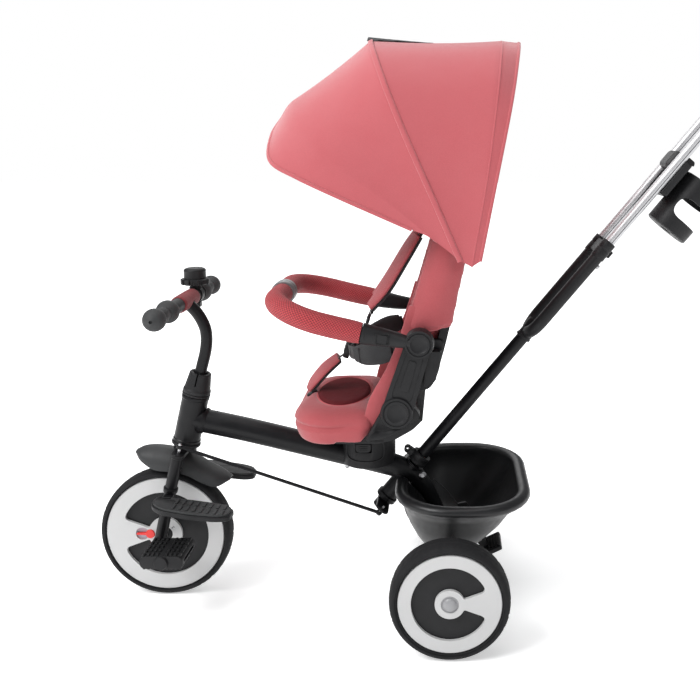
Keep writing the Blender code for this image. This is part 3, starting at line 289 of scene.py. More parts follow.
CORAL = (0.475, 0.088, 0.102)
LOOK = {
    "metal": surface("satin_black_paint", (0.007, 0.007, 0.008), 0.38, 0.0, 0.06, 700, specular=0.2),
    "plastic": surface("black_moulding", (0.013, 0.013, 0.014), 0.5, 0, 0.18, 1400, specular=0.22),
    "gloss": surface("glossy_black_moulding", (0.012, 0.012, 0.013), 0.36, 0, 0.0, 500, specular=0.35),
    "grey": surface("dark_grey_moulding", (0.03, 0.031, 0.032), 0.55, 0, 0.25, 1500, specular=0.35),
    "pale": surface("pale_grey_moulding", (0.52, 0.52, 0.52), 0.46, 0, 0.1, 900, vary=0.03),
    "hub": surface("mid_grey_moulding", (0.3, 0.3, 0.31), 0.34, 0, 0.08, 900, vary=0.03),
    "lilac": surface("clear_pocket_moulding", (0.48, 0.43, 0.5), 0.3, 0, 0.05, 900, vary=0.05),
    "tyre": surface("foam_tyre_rubber", (0.012, 0.012, 0.013), 0.8, 0, 0.4, 1100, specular=0.25),
    "grip": surface("soft_grip_rubber", (0.033, 0.034, 0.035), 0.66, 0, 0.4, 1600, specular=0.35),
    "silver": surface("satin_aluminium", (0.5, 0.5, 0.51), 0.42, 0.6, 0.05, 500, 0.03,
                      brushed=(1, 1, 0.03)),
    "steel": surface("zinc_plate", (0.5, 0.5, 0.51), 0.3, 1, 0.2, 900, 0.1),
    # Dark steel for the crank; on the loop's grooves the same dark colour is painted shade.
    "dark_steel_and_groove_shade": surface("blackened_steel_and_groove_shade", (0.07, 0.07, 0.075), 0.36, 0.8, 0.2, 900, 0.1),
    "red": surface("red_moulding", (0.72, 0.025, 0.02), 0.35, 0, 0.1, 900),
    "clasp": surface("grey_clasp_moulding", (0.2, 0.205, 0.21), 0.36, 0.3, 0.1, 900),
    "coral": surface("coral_weave", CORAL, 0.82, 0, 0.3, 1300, 0.05, 6, sheen=0.45,
                     weave=("woven", 0.0011, 0.35, 0.0003)),
    # The padded coral cloth of the seat, back, liners and straps: a coarser weave with less sheen, and its colour
    # painted darker than the canopy's coral as painted shade.
    "shaded_coral_pad": surface("shaded_coral_padded_weave", (0.42, 0.07, 0.08), 0.8, 0, 0.3, 1300, 0.05, 9, sheen=0.3,
                         weave=("woven", 0.0013, 0.4, 0.0004)),
    "mesh": surface("seat_spacer_mesh", (0.17, 0.024, 0.029), 0.9, 0, 0.3, 1300, 0.08, 20, specular=0.15,
                    weave=("knit", 0.0042, 0.9, 0.0008), hole=(0.05, 0.007, 0.009)),
    "foam": surface("knitted_foam_cover", (0.5, 0.05, 0.06), 0.8, 0, 0.3, 1300, 0.06, 20, sheen=0.08,
                    weave=("knit", 0.0052, 1.0, 0.001), hole=(0.17, 0.012, 0.016)),
    "dark_cloth": surface("charcoal_weave", (0.024, 0.025, 0.027), 0.85, 0, 0.3, 1300, 0.1, 8, sheen=0.08,
                          weave=("woven", 0.0016, 0.5, 0.0004)),
    "webbing": surface("black_webbing", (0.016, 0.016, 0.018), 0.74, 0, 0.3, 1300, 0.1, 20, sheen=0.15,
                       weave=("rib", 0.0022, 0.7, 0.0005)),
    "thread": surface("coral_thread", (0.5, 0.095, 0.105), 0.8, 0, 0.4, 2500),
}
CLOTH_LOOKS = ("coral", "shaded_coral_pad", "mesh", "foam", "dark_cloth", "webbing")


# ---------------------------------------------------------------- modelling helpers
def make(name, build, angle=35.0):
    """An object from a bmesh, with its faces turned out and shaded smooth between sharp edges."""
    mesh = bpy.data.meshes.new(name)
    bm = bmesh.new()
    build(bm)
    bmesh.ops.recalc_face_normals(bm, faces=bm.faces)
    if bm.calc_volume(signed=True) < 0:
        bmesh.ops.reverse_faces(bm, faces=bm.faces)
    bm.to_mesh(mesh)
    bm.free()
    mesh.shade_smooth()
    mesh.set_sharp_from_angle(angle=math.radians(angle))
    obj = bpy.data.objects.new(name, mesh)
    scene.collection.objects.link(obj)
    return obj


def freeze(obj):
    """Replaces the mesh with what its modifiers make of it."""
    bpy.context.view_layer.update()
    graph = bpy.context.evaluated_depsgraph_get()
    mesh = bpy.data.meshes.new_from_object(obj.evaluated_get(graph))
    obj.modifiers.clear()
    obj.data = mesh
    return obj


def soften(obj, width, segments=3, angle=32.0):
    """Rounds the edges that are sharper than the angle."""
    sharp = obj.data.attributes.get("sharp_edge")
    if sharp:
        obj.data.attributes.remove(sharp)
    obj.data.shade_smooth()
    bevel = obj.modifiers.new("soft_edges", "BEVEL")
    bevel.width = width
    bevel.segments = segments
    bevel.limit_method = "ANGLE"
    bevel.angle_limit = math.radians(angle)
    bevel.harden_normals = True
    return obj


def cut(obj, *cutters):
    for cutter in cutters:
        modifier = obj.modifiers.new("cut", "BOOLEAN")
        modifier.operation = "DIFFERENCE"
        modifier.object = cutter
        modifier.solver = "EXACT"
    freeze(obj)
    for cutter in cutters:
        bpy.data.objects.remove(cutter)
    return obj


def join(obj, *others):
    """One object from several shells, with each one's modifiers applied first."""
    bm = bmesh.new()
    for piece in (obj, *others):
        freeze(piece)
        bm.from_mesh(piece.data)
    mesh = bpy.data.meshes.new(obj.name)
    bm.to_mesh(mesh)
    bm.free()
    obj.data = mesh
    for other in others:
        bpy.data.objects.remove(other)
    return obj


def box_uv(obj):
    """A UV map in metres, each face laid flat along its main direction."""
    layer = obj.data.uv_layers.get("cloth") or obj.data.uv_layers.new(name="cloth")
    for polygon in obj.data.polygons:
        n = [abs(c) for c in polygon.normal]
        u, v = {0: (1, 2), 1: (0, 2), 2: (0, 1)}[n.index(max(n))]
        for loop in polygon.loop_indices:
            point = obj.data.vertices[obj.data.loops[loop].vertex_index].co
            layer.data[loop].uv = (point[u], point[v])
    return obj


def dress(obj, look, slot, *nodes):
    """Gives the piece its material and hides the CAD nodes it stands for. The slot is not used."""
    if look in CLOTH_LOOKS and "cloth" not in obj.data.uv_layers:
        box_uv(obj)
    obj.data.materials.clear()
    obj.data.materials.append(LOOK[look])
    if nodes:
        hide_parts(*nodes)
    return obj


def show(obj, look, slot, body, *nodes):
    dress(obj, look, slot, *nodes)
    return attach(obj, body)


def skin(bm, rings, looped=False):
    """Faces between successive rings of equal length, capped at both ends unless looped."""
    loops = [[bm.verts.new(point) for point in ring] for ring in rings]
    pairs = list(zip(loops, loops[1:]))
    if looped:
        pairs.append((loops[-1], loops[0]))
    else:
        bm.faces.new(loops[0])
        bm.faces.new(loops[-1])
    for low, high in pairs:
        for i in range(len(low)):
            j = (i + 1) % len(low)
            bm.faces.new((low[i], low[j], high[j], high[i]))


def frame_of(axis):
    """Two unit vectors that are square to the axis and to each other."""
    axis = Vector(axis).normalized()
    side = Y if abs(axis.y) < 0.9 else Vector((1, 0, 0))
    first = (side - axis * side.dot(axis)).normalized()
    return first, axis.cross(first)


def circle(centre, axis, radius, sides):
    first, second = frame_of(axis)
    angles = [2 * math.pi * i / sides for i in range(sides)]
    return [centre + radius * (first * math.cos(a) + second * math.sin(a)) for a in angles]


def turned(name, centre, axis, profile, sides=56, wave=None):
    """A turned shape: profile lists (radius, place) round its closed outline; wave(angle, r, h)
    gives a change of radius."""
    axis = Vector(axis).normalized()
    first, second = frame_of(axis)

    def build(bm):
        rings = []
        for i in range(sides):
            a = 2 * math.pi * i / sides
            out = first * math.cos(a) + second * math.sin(a)
            rings.append([centre + out * (r + (wave(a, r, h) if wave else 0)) + axis * h
                          for r, h in profile])
        skin(bm, rings, looped=True)
        bmesh.ops.remove_doubles(bm, verts=bm.verts, dist=1e-6)
        bmesh.ops.dissolve_degenerate(bm, edges=bm.edges, dist=1e-7)

    return make(name, build)


def disc(name, centre, axis, radius, low, high, sides=40, bore=0.0, soft=0.0):
    if bore:
        obj = turned(name, centre, axis, [(bore, low), (radius, low), (radius, high), (bore, high)], sides)
    else:
        axis = Vector(axis).normalized()
        obj = make(name, lambda bm: skin(bm, [circle(centre + axis * h, axis, radius, sides)
                                              for h in (low, high)]))
    return soften(obj, soft) if soft else obj


def spline(points, steps):
    """A smooth curve through the points, by Catmull-Rom, with so many steps a span."""
    ends = [2 * points[0] - points[1], *points, 2 * points[-1] - points[-2]]
    route = []
    for a, b, c, d in zip(ends, ends[1:], ends[2:], ends[3:]):
        for i in range(steps):
            t = i / steps
            route.append(0.5 * ((2 * b) + (c - a) * t + (2 * a - 5 * b + 4 * c - d) * t**2
                                + (3 * b - a - 3 * c + d) * t**3))
    return route + [points[-1]]


def smooth_sizes(sizes, steps):
    return [v.x for v in spline([Vector((s, 0, 0)) for s in sizes], steps)]


def arc(centre, first, second, radius, start, end, steps):
    """Points on an arc, with angles in degrees from the first direction to the second."""
    angles = [math.radians(start + (end - start) * i / steps) for i in range(steps + 1)]
    return [centre + radius * (first * math.cos(a) + second * math.sin(a)) for a in angles]


def swept(name, points, radius, sides=24, bore=0.0, flat=1.0, start=None, power=1.0):
    """A tube along a route, with a UV map in metres. flat squeezes it along the normal, and a power
    below 1 squares its section."""
    radii = list(radius) if isinstance(radius, (list, tuple)) else [radius] * len(points)
    flats = list(flat) if isinstance(flat, (list, tuple)) else [flat] * len(points)
    tangents = []
    for i in range(len(points)):
        before, after = points[max(i - 1, 0)], points[min(i + 1, len(points) - 1)]
        tangents.append((after - before).normalized())
    normal = Vector(start) if start else frame_of(tangents[0])[0]
    normals = []
    for tangent in tangents:
        normal = (normal - tangent * normal.dot(tangent)).normalized()
        normals.append(normal)

    def squared(value):
        return math.copysign(abs(value) ** power, value)

    def section(i, size):
        other = tangents[i].cross(normals[i])
        angles = [2 * math.pi * k / sides for k in range(sides)]
        return [points[i] + size * (normals[i] * squared(math.cos(a)) * flats[i]
                                    + other * squared(math.sin(a))) for a in angles]

    def build(bm):
        outer = [section(i, r) for i, r in enumerate(radii)]
        if bore:
            inner = [section(i, bore) for i in reversed(range(len(points)))]
            skin(bm, outer + inner, looped=True)
        else:
            skin(bm, outer)

    obj = make(name, build)
    lengths = [0.0]
    for a, b in zip(points, points[1:]):
        lengths.append(lengths[-1] + (b - a).length)
    layer = obj.data.uv_layers.new(name="cloth")
    biggest = max(radii)
    for polygon in obj.data.polygons:
        turns = []
        for loop in polygon.loop_indices:
            index = obj.data.loops[loop].vertex_index
            ring, k = divmod(index, sides)
            ring = min(ring, 2 * len(points) - 1)
            ring = ring if ring < len(points) else 2 * len(points) - 1 - ring
            turns.append((loop, lengths[ring], k))
        wraps = max(k for _, _, k in turns) - min(k for _, _, k in turns) > sides / 2
        for loop, length, k in turns:
            if wraps and k < sides / 2:
                k += sides
            layer.data[loop].uv = (2 * math.pi * biggest * k / sides, length)
    return obj


def slab(name, outline, low, high, axis, soft=0.0, segments=3):
    """A flat outline of points, extruded from low to high along the axis."""
    axis = Vector(axis)
    obj = make(name, lambda bm: skin(bm, [[p + axis * h for p in outline] for h in (low, high)]))
    return soften(obj, soft, segments) if soft else obj


def rounded(corners, radius, steps=6):
    """The closed outline with each corner turned into a curve that starts this far from it."""
    sizes = radius if isinstance(radius, (list, tuple)) else [radius] * len(corners)
    outline = []
    for i, corner in enumerate(corners):
        before = corners[i - 1] - corner
        after = corners[(i + 1) % len(corners)] - corner
        a = corner + before * min(0.49, sizes[i] / before.length)
        b = corner + after * min(0.49, sizes[i] / after.length)
        for k in range(steps + 1):
            t = k / steps
            outline.append(a * (1 - t) ** 2 + corner * 2 * t * (1 - t) + b * t * t)
    return outline


def block(name, centre, size, tilt=0.0, soft=0.001, segments=3):
    """A box, tilted about Y, with rounded edges."""
    place = Matrix.Translation(centre) @ Matrix.Rotation(tilt, 4, "Y") @ Matrix.Diagonal((*size, 1))
    obj = make(name, lambda bm: bmesh.ops.create_cube(bm, size=1, matrix=place))
    return soften(obj, soft, segments)


def ribbon(name, points, width, thickness):
    """A flat strap along a route, as wide across the tricycle as it says."""
    tangent = (points[1] - points[0]).normalized()
    return swept(name, points, width / 2, 16, flat=thickness / width, start=tangent.cross(Y), power=0.55)


def screw(name, centre, axis, radius, height):
    """A pan head with a round recess."""
    profile = [(0, 0), (radius, 0), (radius, height * 0.45), (radius * 0.8, height * 0.85),
               (radius * 0.5, height), (radius * 0.42, height * 0.4), (0, height * 0.4)]
    return turned(name, centre, axis, profile, 20)


# ---------------------------------------------------------------- frame
def frame_tube():
    way = [on_steer(0.232, 0.004), at(0.16, 0, 0.3272), at(0.26, 0, 0.3025), at(0.346, 0, 0.281),
           at(0.415, 0, 0.263), at(0.462, 0, 0.2475), at(0.492, 0, 0.222), at(0.514, 0, 0.185),
           at(0.532, 0, 0.145), REAR_AXLE]
    return way, [0.0225, 0.0225, 0.0225, 0.0225, 0.022, 0.0205, 0.017, 0.0135, 0.0125, 0.0125]


def make_frame():
    way, radii = frame_tube()
    tube = swept("main_tube", spline(way, 6), smooth_sizes(radii, 6), 40)
    weld = swept("tube_weld", [on_steer(0.232, 0.0215), on_steer(0.2312, 0.0265), on_steer(0.2305, 0.031)],
                 [0.0262, 0.0252, 0.0226], 40)
    head = turned("head_tube", FRONT_AXLE, STEER_AXIS, [
        (0.0163, 0.186), (0.0252, 0.186), (0.0258, 0.1875), (0.0258, 0.1915), (0.0246, 0.193),
        (0.0246, 0.272), (0.0257, 0.2735), (0.0257, 0.2775), (0.0252, 0.2788), (0.0163, 0.2788)], 64)
    socket = turned("handle_socket", HANDLE_FOOT, HANDLE_AXIS, [
        (0.0126, -0.1228), (0.0198, -0.1228), (0.0204, -0.122), (0.0204, -0.1135), (0.0196, -0.1125),
        (0.0173, -0.1118), (0.0173, -0.036), (0.019, -0.035), (0.019, -0.0322), (0.0126, -0.0322)], 48)
    beam = turned("rear_beam", REAR_AXLE, Y, [
        (0.0056, -0.186), (0.0145, -0.186), (0.0152, -0.185), (0.0152, -0.178), (0.0128, -0.1765),
        (0.0125, -0.175), (0.0125, 0.175), (0.0128, 0.1765), (0.0152, 0.178), (0.0152, 0.185),
        (0.0145, 0.186), (0.0056, 0.186)], 40)
    post = block("brake_post", at(0.578, 0, 0.1125), (0.05, 0.0108, 0.0072), soft=0.0012)
    lug = slab("brake_lug", rounded([at(0.595, 0, 0.105), at(0.611, 0, 0.105), at(0.611, 0, 0.121),
                                     at(0.595, 0, 0.121)], 0.006), -0.006, 0.006, Y, 0.0008)
    stay = swept("basket_stay", spline([at(0.552, 0, 0.124), at(0.585, 0, 0.1175), at(0.6, 0, 0.121)], 4),
                 0.0042, 16)
    gusset = slab("tube_gusset", rounded([at(0.443, 0, 0.243), at(0.488, 0, 0.232), at(0.47, 0, 0.2515)],
                                         0.006), -0.004, 0.004, Y, 0.001)
    frame_piece = join(tube, weld, head, socket, beam, post, lug, stay, gusset)
    frame_piece.name = "main_frame_tubes"
    show(frame_piece, "metal", "black_metal", "frame", "main_frame")

    for name, low, high, lip in (("lower", 0.1796, 0.1853, 0.027), ("upper", 0.2796, 0.2838, 0.0262)):
        seal = turned(f"head_seal_{name}", FRONT_AXLE, STEER_AXIS, [
            (0.0148, low), (lip - 0.0012, low), (lip, low + 0.0012), (lip, high - 0.0012),
            (lip - 0.0012, high), (0.0148, high)], 56)
        show(seal, "plastic", "black_plastic", "frame", f"head_bearing_{name}")
    ends = [turned(f"axle_end_{name}", REAR_AXLE, Y * side, [
        (0, 0.15), (0.0049, 0.15), (0.0049, 0.2335), (0.004, 0.2344), (0, 0.2344)], 24)
        for name, side in SIDES]
    axle = join(*ends)
    axle.name = "rear_axle_bar"
    show(axle, "steel", "steel", "frame", "rear_axle")
    bolts = [screw("frame_bolts", at(0.4937, -0.0125, 0.24), Vector((0.3, -1, 0.35)), 0.0075, 0.0045),
             screw("lug_bolt_right", at(0.604, -0.0108, 0.111), -Y, 0.0042, 0.0022),
             screw("lug_bolt_left", at(0.604, 0.0108, 0.111), Y, 0.0042, 0.0022),
             screw("base_bolt_right", at(0.352, -0.0225, 0.2625), Vector((0, -1, -0.5)), 0.0042, 0.0022)]
    show(join(*bolts), "steel", "steel", "frame")


def rounded_rectangle(x_half, y_half, corner, steps=8):
    points = []
    for sx, sy, start in ((1, 1, 0), (-1, 1, 90), (-1, -1, 180), (1, -1, 270)):
        centre = Vector((sx * (x_half - corner), sy * (y_half - corner), 0))
        for i in range(steps + 1):
            a = math.radians(start + 90 * i / steps)
            points.append(centre + corner * Vector((math.cos(a), math.sin(a), 0)))
    return points


def make_basket():
    """The bucket: a bellied wall, a fat rolled rim, a floor, and a channel for the frame's tube."""
    rim = [(0.232 + 0.01 * math.sin(a), 0.113 + 0.012 * math.cos(a), 0.1595 + 0.012 * math.cos(a),
            0.096 + 0.012 * math.cos(a), 0.0)
           for a in [math.radians(-70 + 250 * i / 14) for i in range(15)]]
    wall = [(0.205, 0.0985, 0.149, 0.082, -0.008), (0.178, 0.0845, 0.137, 0.07, -0.0135),
            (0.152, 0.066, 0.119, 0.056, -0.0195), (0.135, 0.052, 0.105, 0.045, -0.0225),
            (0.1255, 0.0425, 0.0945, 0.034, -0.023), (0.1218, 0.037, 0.0885, 0.031, -0.023)]
    thick = 0.0026
    inner = [(0.125, 0.034, 0.0855, 0.029, -0.023), (0.129, 0.04, 0.092, 0.032, -0.023)]
    inner += [(z, hx - thick, hy - thick, c - thick, dx) for z, hx, hy, c, dx in wall[3::-1]]
    inner += [(0.225, 0.1, 0.147, 0.083, -0.002)]
    levels = wall[::-1] + rim

    # Each row is the height, the half length, the half width, the corner and the shift back.
    def rings(rows):
        return [[at(0.5695 + dx, 0, z) + p for p in rounded_rectangle(hx, hy, c, 8)]
                for z, hx, hy, c, dx in rows]

    basket = make("bucket", lambda bm: skin(bm, rings(levels + inner[::-1])), 60)
    way, radii = frame_tube()
    channel = swept("channel", spline(way[5:] + [REAR_AXLE - Z * 0.02], 4),
                    smooth_sizes([r + 0.004 for r in radii[5:]] + [radii[-1] + 0.004], 4), 24)
    sleeve = disc("channel_socket", HANDLE_FOOT, HANDLE_AXIS, 0.0215, -0.135, 0.03, 32)
    cut(basket, channel, sleeve)
    basket.data.shade_smooth()
    basket.data.set_sharp_from_angle(angle=math.radians(40))
    show(basket, "gloss", "black_plastic", "frame", "basket")

    clip_at = at(0.571, -0.02, 0.1815)
    clip = slab("bucket_clip", rounded([clip_at + Vector(p) for p in (
        (-0.012, 0, 0.006), (0.006, 0, 0.01), (0.016, 0, -0.004), (0.012, 0, -0.012),
        (-0.004, 0, -0.006))], 0.004), -0.003, 0.003, Y, 0.001)
    hook = swept("clip_hook", spline([clip_at + Vector((0.012, 0, -0.008)), clip_at + Vector((0.02, 0, -0.016)),
                                      clip_at + Vector((0.026, 0, -0.013))], 4), 0.0016, 12)
    hub = turned("bucket_bolt", at(0.556, -0.012, 0.147), Vector((-0.2, -0.6, 1)),
                 [(0, 0), (0.013, 0), (0.014, 0.003), (0.011, 0.0055), (0.006, 0.0062), (0.006, 0.0085), (0, 0.009)],
                 32, lambda a, r, h: 0.0012 * math.cos(6 * a) if r > 0.01 else 0)
    show(join(clip, hook, hub), "plastic", "black_plastic", "frame")
    lace = swept("clip_lace", spline([at(0.5155, -0.016, 0.235), at(0.54, -0.018, 0.212),
                                      clip_at + Vector((-0.01, 0, 0.004))], 5), 0.0011, 10)
    show(lace, "webbing", "webbing", "frame")


def make_swivel_base():
    centre = PIVOT["seat_swivel"].copy()
    centre.z = 0
    base = turned("swivel_tower", centre, Z, [
        (0.0, 0.2665), (0.048, 0.2665), (0.05, 0.2685), (0.0503, 0.3), (0.0503, 0.329),
        (0.0492, 0.3345), (0.047, 0.3385), (0.047, 0.3432), (0.02, 0.3432), (0.02, 0.348),
        (0.0, 0.348)], 72)
    way, _ = frame_tube()
    tube = swept("tower_tube", spline(way[2:7], 5), smooth_sizes([0.0229, 0.0229, 0.0224, 0.0209, 0.0174], 5), 40)
    pocket = block("tower_pocket", centre + Vector((-0.006, -0.046, 0.308)), (0.031, 0.024, 0.019), soft=0.002)
    slot = block("tower_slot", centre + Vector((-0.006, -0.05, 0.3232)), (0.026, 0.012, 0.0045), soft=0.0015)
    cut(base, tube, pocket, slot)
    soften(base, 0.0006, 2)
    rings = []
    for name, side in SIDES:
        loop = []
        for i in range(49):
            a = 2 * math.pi * i / 48
            wide = 0.78 * math.copysign(abs(math.cos(a)) ** 0.6, math.cos(a)) - 0.1
            high = 0.0215 * math.copysign(abs(math.sin(a)) ** 0.6, math.sin(a))
            loop.append(centre + Vector((0.0503 * math.sin(wide), -side * -0.0503 * math.cos(wide),
                                         0.303 + high)))
        rings.append(swept(f"tower_ring_{name}", loop, 0.0016, 10))
    show(join(base, *rings), "plastic", "black_plastic", "frame", "swivel_base")
    spot = centre + Vector((-0.006, -0.0453, 0.308))
    button = slab("swivel_push_button", rounded([spot + Vector(p) for p in (
        (-0.0143, 0, -0.0083), (0.0143, 0, -0.0083), (0.0143, 0, 0.0083), (-0.0143, 0, 0.0083))],
        [0.009, 0.009, 0.002, 0.002]), -0.0058, 0.0058, Y, 0.0012)
    ridges = [block(f"button_ridge_{i}", spot + Vector((0, -0.006, -0.0035 + 0.0035 * i)),
                    (0.015, 0.001, 0.001), soft=0.0004, segments=2) for i in range(3)]
    show(join(button, *ridges), "plastic", "black_plastic", "swivel_button", "swivel_button")


def make_brake():
    pivot = PIVOT["brake_pivot"]
    tilt = math.radians(-26)
    centre = at(0.6285, 0, 0.0955)
    pedal = block("brake_treadle", centre, (0.036, 0.062, 0.01), tilt, 0.003, 4)
    along = Vector((math.cos(tilt), 0, -math.sin(tilt)))
    up = Vector((math.sin(tilt), 0, math.cos(tilt)))
    ribs = [block(f"brake_rib_{i}", centre + along * (-0.012 + 0.006 * i) + up * 0.0052,
                  (0.0024, 0.052, 0.0022), tilt, 0.0008, 2) for i in range(5)]
    ears = [slab(f"brake_ear_{name}", rounded([
        at(0.598, 0, 0.117), at(0.598, 0, 0.104), at(0.612, 0, 0.088), at(0.622, 0, 0.0945),
        at(0.6105, 0, 0.117)], 0.004), side * 0.0066, side * 0.0105, Y, 0.0006) for name, side in SIDES]
    pin = disc("brake_pin", pivot, Y, 0.0031, -0.009, 0.009, 24)
    show(join(pedal, *ribs, *ears, pin), "plastic", "black_plastic", "brake", "brake_pedal")


# ---------------------------------------------------------------- front end
def make_fork():
    parts = []
    for name, side in SIDES:
        y = side * FORK_HALF
        parts.append(turned(f"fork_leg_{name}", on_steer(0, 0, y), STEER_AXIS, [
            (0, -0.0138), (0.0085, -0.0138), (0.0106, -0.0115), (0.0109, -0.006), (0.0109, 0.174), (0, 0.174)], 40))
        parts.append(turned(f"rest_clamp_{name}", on_steer(0, 0, y), STEER_AXIS, [
            (0.0108, 0.1012), (0.0128, 0.1012), (0.0132, 0.1022), (0.0132, 0.1088), (0.0128, 0.1098),
            (0.0108, 0.1098)], 40))
        parts.append(block(f"rest_lug_{name}", on_steer(0.0955, 0.002, side * 0.0645), (0.018, 0.0165, 0.0093),
                           soft=0.0015))
        parts.append(disc(f"rest_pin_{name}", PIVOT[f"footrest_fold_{name}"], (1, 0, 0), 0.0025, -0.016, 0.016, 20))
        parts.append(screw(f"leg_bolt_{name}", on_steer(0.15, 0.01, y), STEER_ACROSS, 0.0036, 0.002))
    crown = slab("fork_crown", [on_steer(0, 0.0124 * math.cos(a), FORK_HALF * math.copysign(1, math.sin(a))
                                         + 0.0124 * math.sin(a))
                                for a in [math.radians(5 + 10 * i) for i in range(36)]],
                 0.169, 0.1775, STEER_AXIS, 0.0016)
    steerer = disc("fork_steerer", FRONT_AXLE, STEER_AXIS, 0.0142, 0.172, 0.299, 40)
    boss = turned("fork_boss", FRONT_AXLE, STEER_AXIS, [(0.014, 0.17), (0.0215, 0.17), (0.0205, 0.1788),
                                                        (0.014, 0.1788)], 40)
    fork = join(crown, steerer, boss, *parts)
    fork.name = "fork_legs"
    show(fork, "metal", "black_metal", "fork", "fork")
    for name, side in SIDES:
        nut = turned(f"fork_bush_{name}", FRONT_AXLE + Y * side * FORK_HALF, Y * side, [
            (0.0062, -0.015), (0.0105, -0.015), (0.0118, -0.013), (0.0118, 0.0125), (0.0105, 0.0142),
            (0.0062, 0.0142)], 40)
        show(nut, "plastic", "black_plastic", "fork")

    top = 0.279
    collar = turned("stem_clamp", FRONT_AXLE, STEER_AXIS, [
        (0.0148, top + 0.0055), (0.0252, top + 0.0055), (0.0258, top + 0.0068), (0.0256, top + 0.0115),
        (0.0244, top + 0.013), (0.0238, 0.295), (0.0205, 0.318), (0.0198, 0.3228), (0.0186, 0.324),
        (0.015, 0.324), (0.0138, 0.3232), (0.0118, 0.3215), (0.0118, 0.3015), (0.0148, 0.3015)], 64)
    slots = [block(f"clamp_slot_{i}", on_steer(0.316, 0, 0) + STEER_ACROSS * x + Y * y, size, math.radians(13.7),
                   soft=0.0006) for i, (x, y, size) in enumerate((
                       (0, -0.018, (0.0026, 0.012, 0.03)), (0, 0.018, (0.0026, 0.012, 0.03)),
                       (0.018, 0, (0.012, 0.0026, 0.03)), (-0.018, 0, (0.012, 0.0026, 0.03))))]
    cut(collar, *slots)
    soften(collar, 0.0004, 2)
    show(collar, "plastic", "black_plastic", "fork", "stem_collar")


def make_handlebar():
    bar = at(0.0545, 0, 0.5765)
    stem_route = spline([on_steer(0.302), on_steer(0.33), at(0.0875, 0, 0.48), at(0.0906, 0, 0.507),
                         at(0.087, 0, 0.53), at(0.074, 0, 0.5545), at(0.0545, 0, 0.5755)], 8)
    stem = swept("handlebar_tubes", stem_route, 0.011, 40)
    cross = disc("cross_tube", bar, Y, 0.0107, -0.1755, 0.1755, 40)
    boss = disc("stem_tee", bar, Y, 0.0135, -0.017, 0.017, 40, soft=0.003)
    show(join(stem, cross, boss), "metal", "black_metal", "fork", "handlebar")

    def grip_radius(h):
        balls = [math.sqrt(max(0.0, r * r - (h - c) ** 2)) for c, r in ((0.172, 0.0196), (0.1035, 0.0204))]
        waist = 0.0128 + 0.0012 * math.cos((h - 0.138) * 2 * math.pi / 0.04)
        return max(*balls, waist if 0.0875 < h < 0.16 else 0.0)

    for name, side in SIDES:
        heights = [0.085 + 0.1064 * i / 70 for i in range(71)]
        profile = [(0.011, side * 0.085)]
        profile += [(grip_radius(h), side * h) for h in heights if grip_radius(h) > 0.0112]
        profile += [(0.003, side * 0.1915), (0.0026, side * 0.1885), (0, side * 0.1885), (0, side * 0.1768),
                    (0.011, side * 0.1768)]
        grip = turned(f"hand_grip_{name}", bar, Y, profile, 56)
        rim = turned(f"grip_flange_{name}", bar, Y * side, [(0.011, 0.0835), (0.0155, 0.0835), (0.016, 0.0848),
                                                            (0.0155, 0.087), (0.011, 0.087)], 40)
        show(join(grip, rim), "grip", "grip_rubber", "fork", f"grip_{name}")
        sleeve = disc(f"bar_end_sleeve_{name}", bar, Y * side, 0.0132, 0.044, 0.084, 40, bore=0.0108, soft=0.0008)
        show(sleeve, "plastic", "black_plastic", "fork")

    steps = 24
    half = 0.045
    profile = [(0.011, -half)]
    for i in range(steps + 1):
        h = -half + 2 * half * i / steps
        edge = min(1.0, (half - abs(h)) / 0.006)
        profile.append((0.0138 + 0.0018 * math.sqrt(max(0.0, 1 - (1 - edge) ** 2)) + 0.0004 * math.cos(h / half * 1.5),
                        h))
    profile.append((0.011, half))
    pad = turned("bar_sleeve", bar, Y, profile, 64)
    cut(pad, swept("pad_stem", stem_route, 0.0124, 32))
    pad.data.shade_smooth()
    pad.data.set_sharp_from_angle(angle=math.radians(45))
    show(pad, "foam", "coral_fabric", "fork", "bar_pad")

    bell = PIVOT["bell_turn"]
    clamp = disc("bell_mount", bell, Y, 0.0155, -0.009, 0.009, 48, bore=0.011, soft=0.0015)
    foot = turned("bell_foot", bell, Z, [(0, 0.0125), (0.012, 0.0125), (0.01, 0.018), (0.01, 0.0225),
                                         (0, 0.0225)], 32)
    notched = turned("bell_ring", bell, Z, [
        (0, 0.0205), (0.0255, 0.0205), (0.0275, 0.022), (0.0275, 0.03), (0.0255, 0.0314), (0, 0.0314)], 144,
        lambda a, r, h: -0.003 * (math.cos(10 * a) > 0.25) if r > 0.02 else 0)
    ear = block("bell_clamp_ear", bell + Vector((0.004, 0, -0.019)), (0.011, 0.0155, 0.011), soft=0.002)
    show(join(clamp, foot, notched, ear), "plastic", "black_plastic", "fork", "bell_base")
    cap = turned("bell_dial", bell, Z, [
        (0, 0.031), (0.02, 0.031), (0.0206, 0.0316), (0.0206, 0.045), (0.0209, 0.0462), (0.0206, 0.0482),
        (0.019, 0.0502), (0.015, 0.0518), (0.0145, 0.0512), (0.0135, 0.0514), (0.0, 0.0524)], 56)
    show(cap, "plastic", "black_plastic", "bell", "bell_cap")


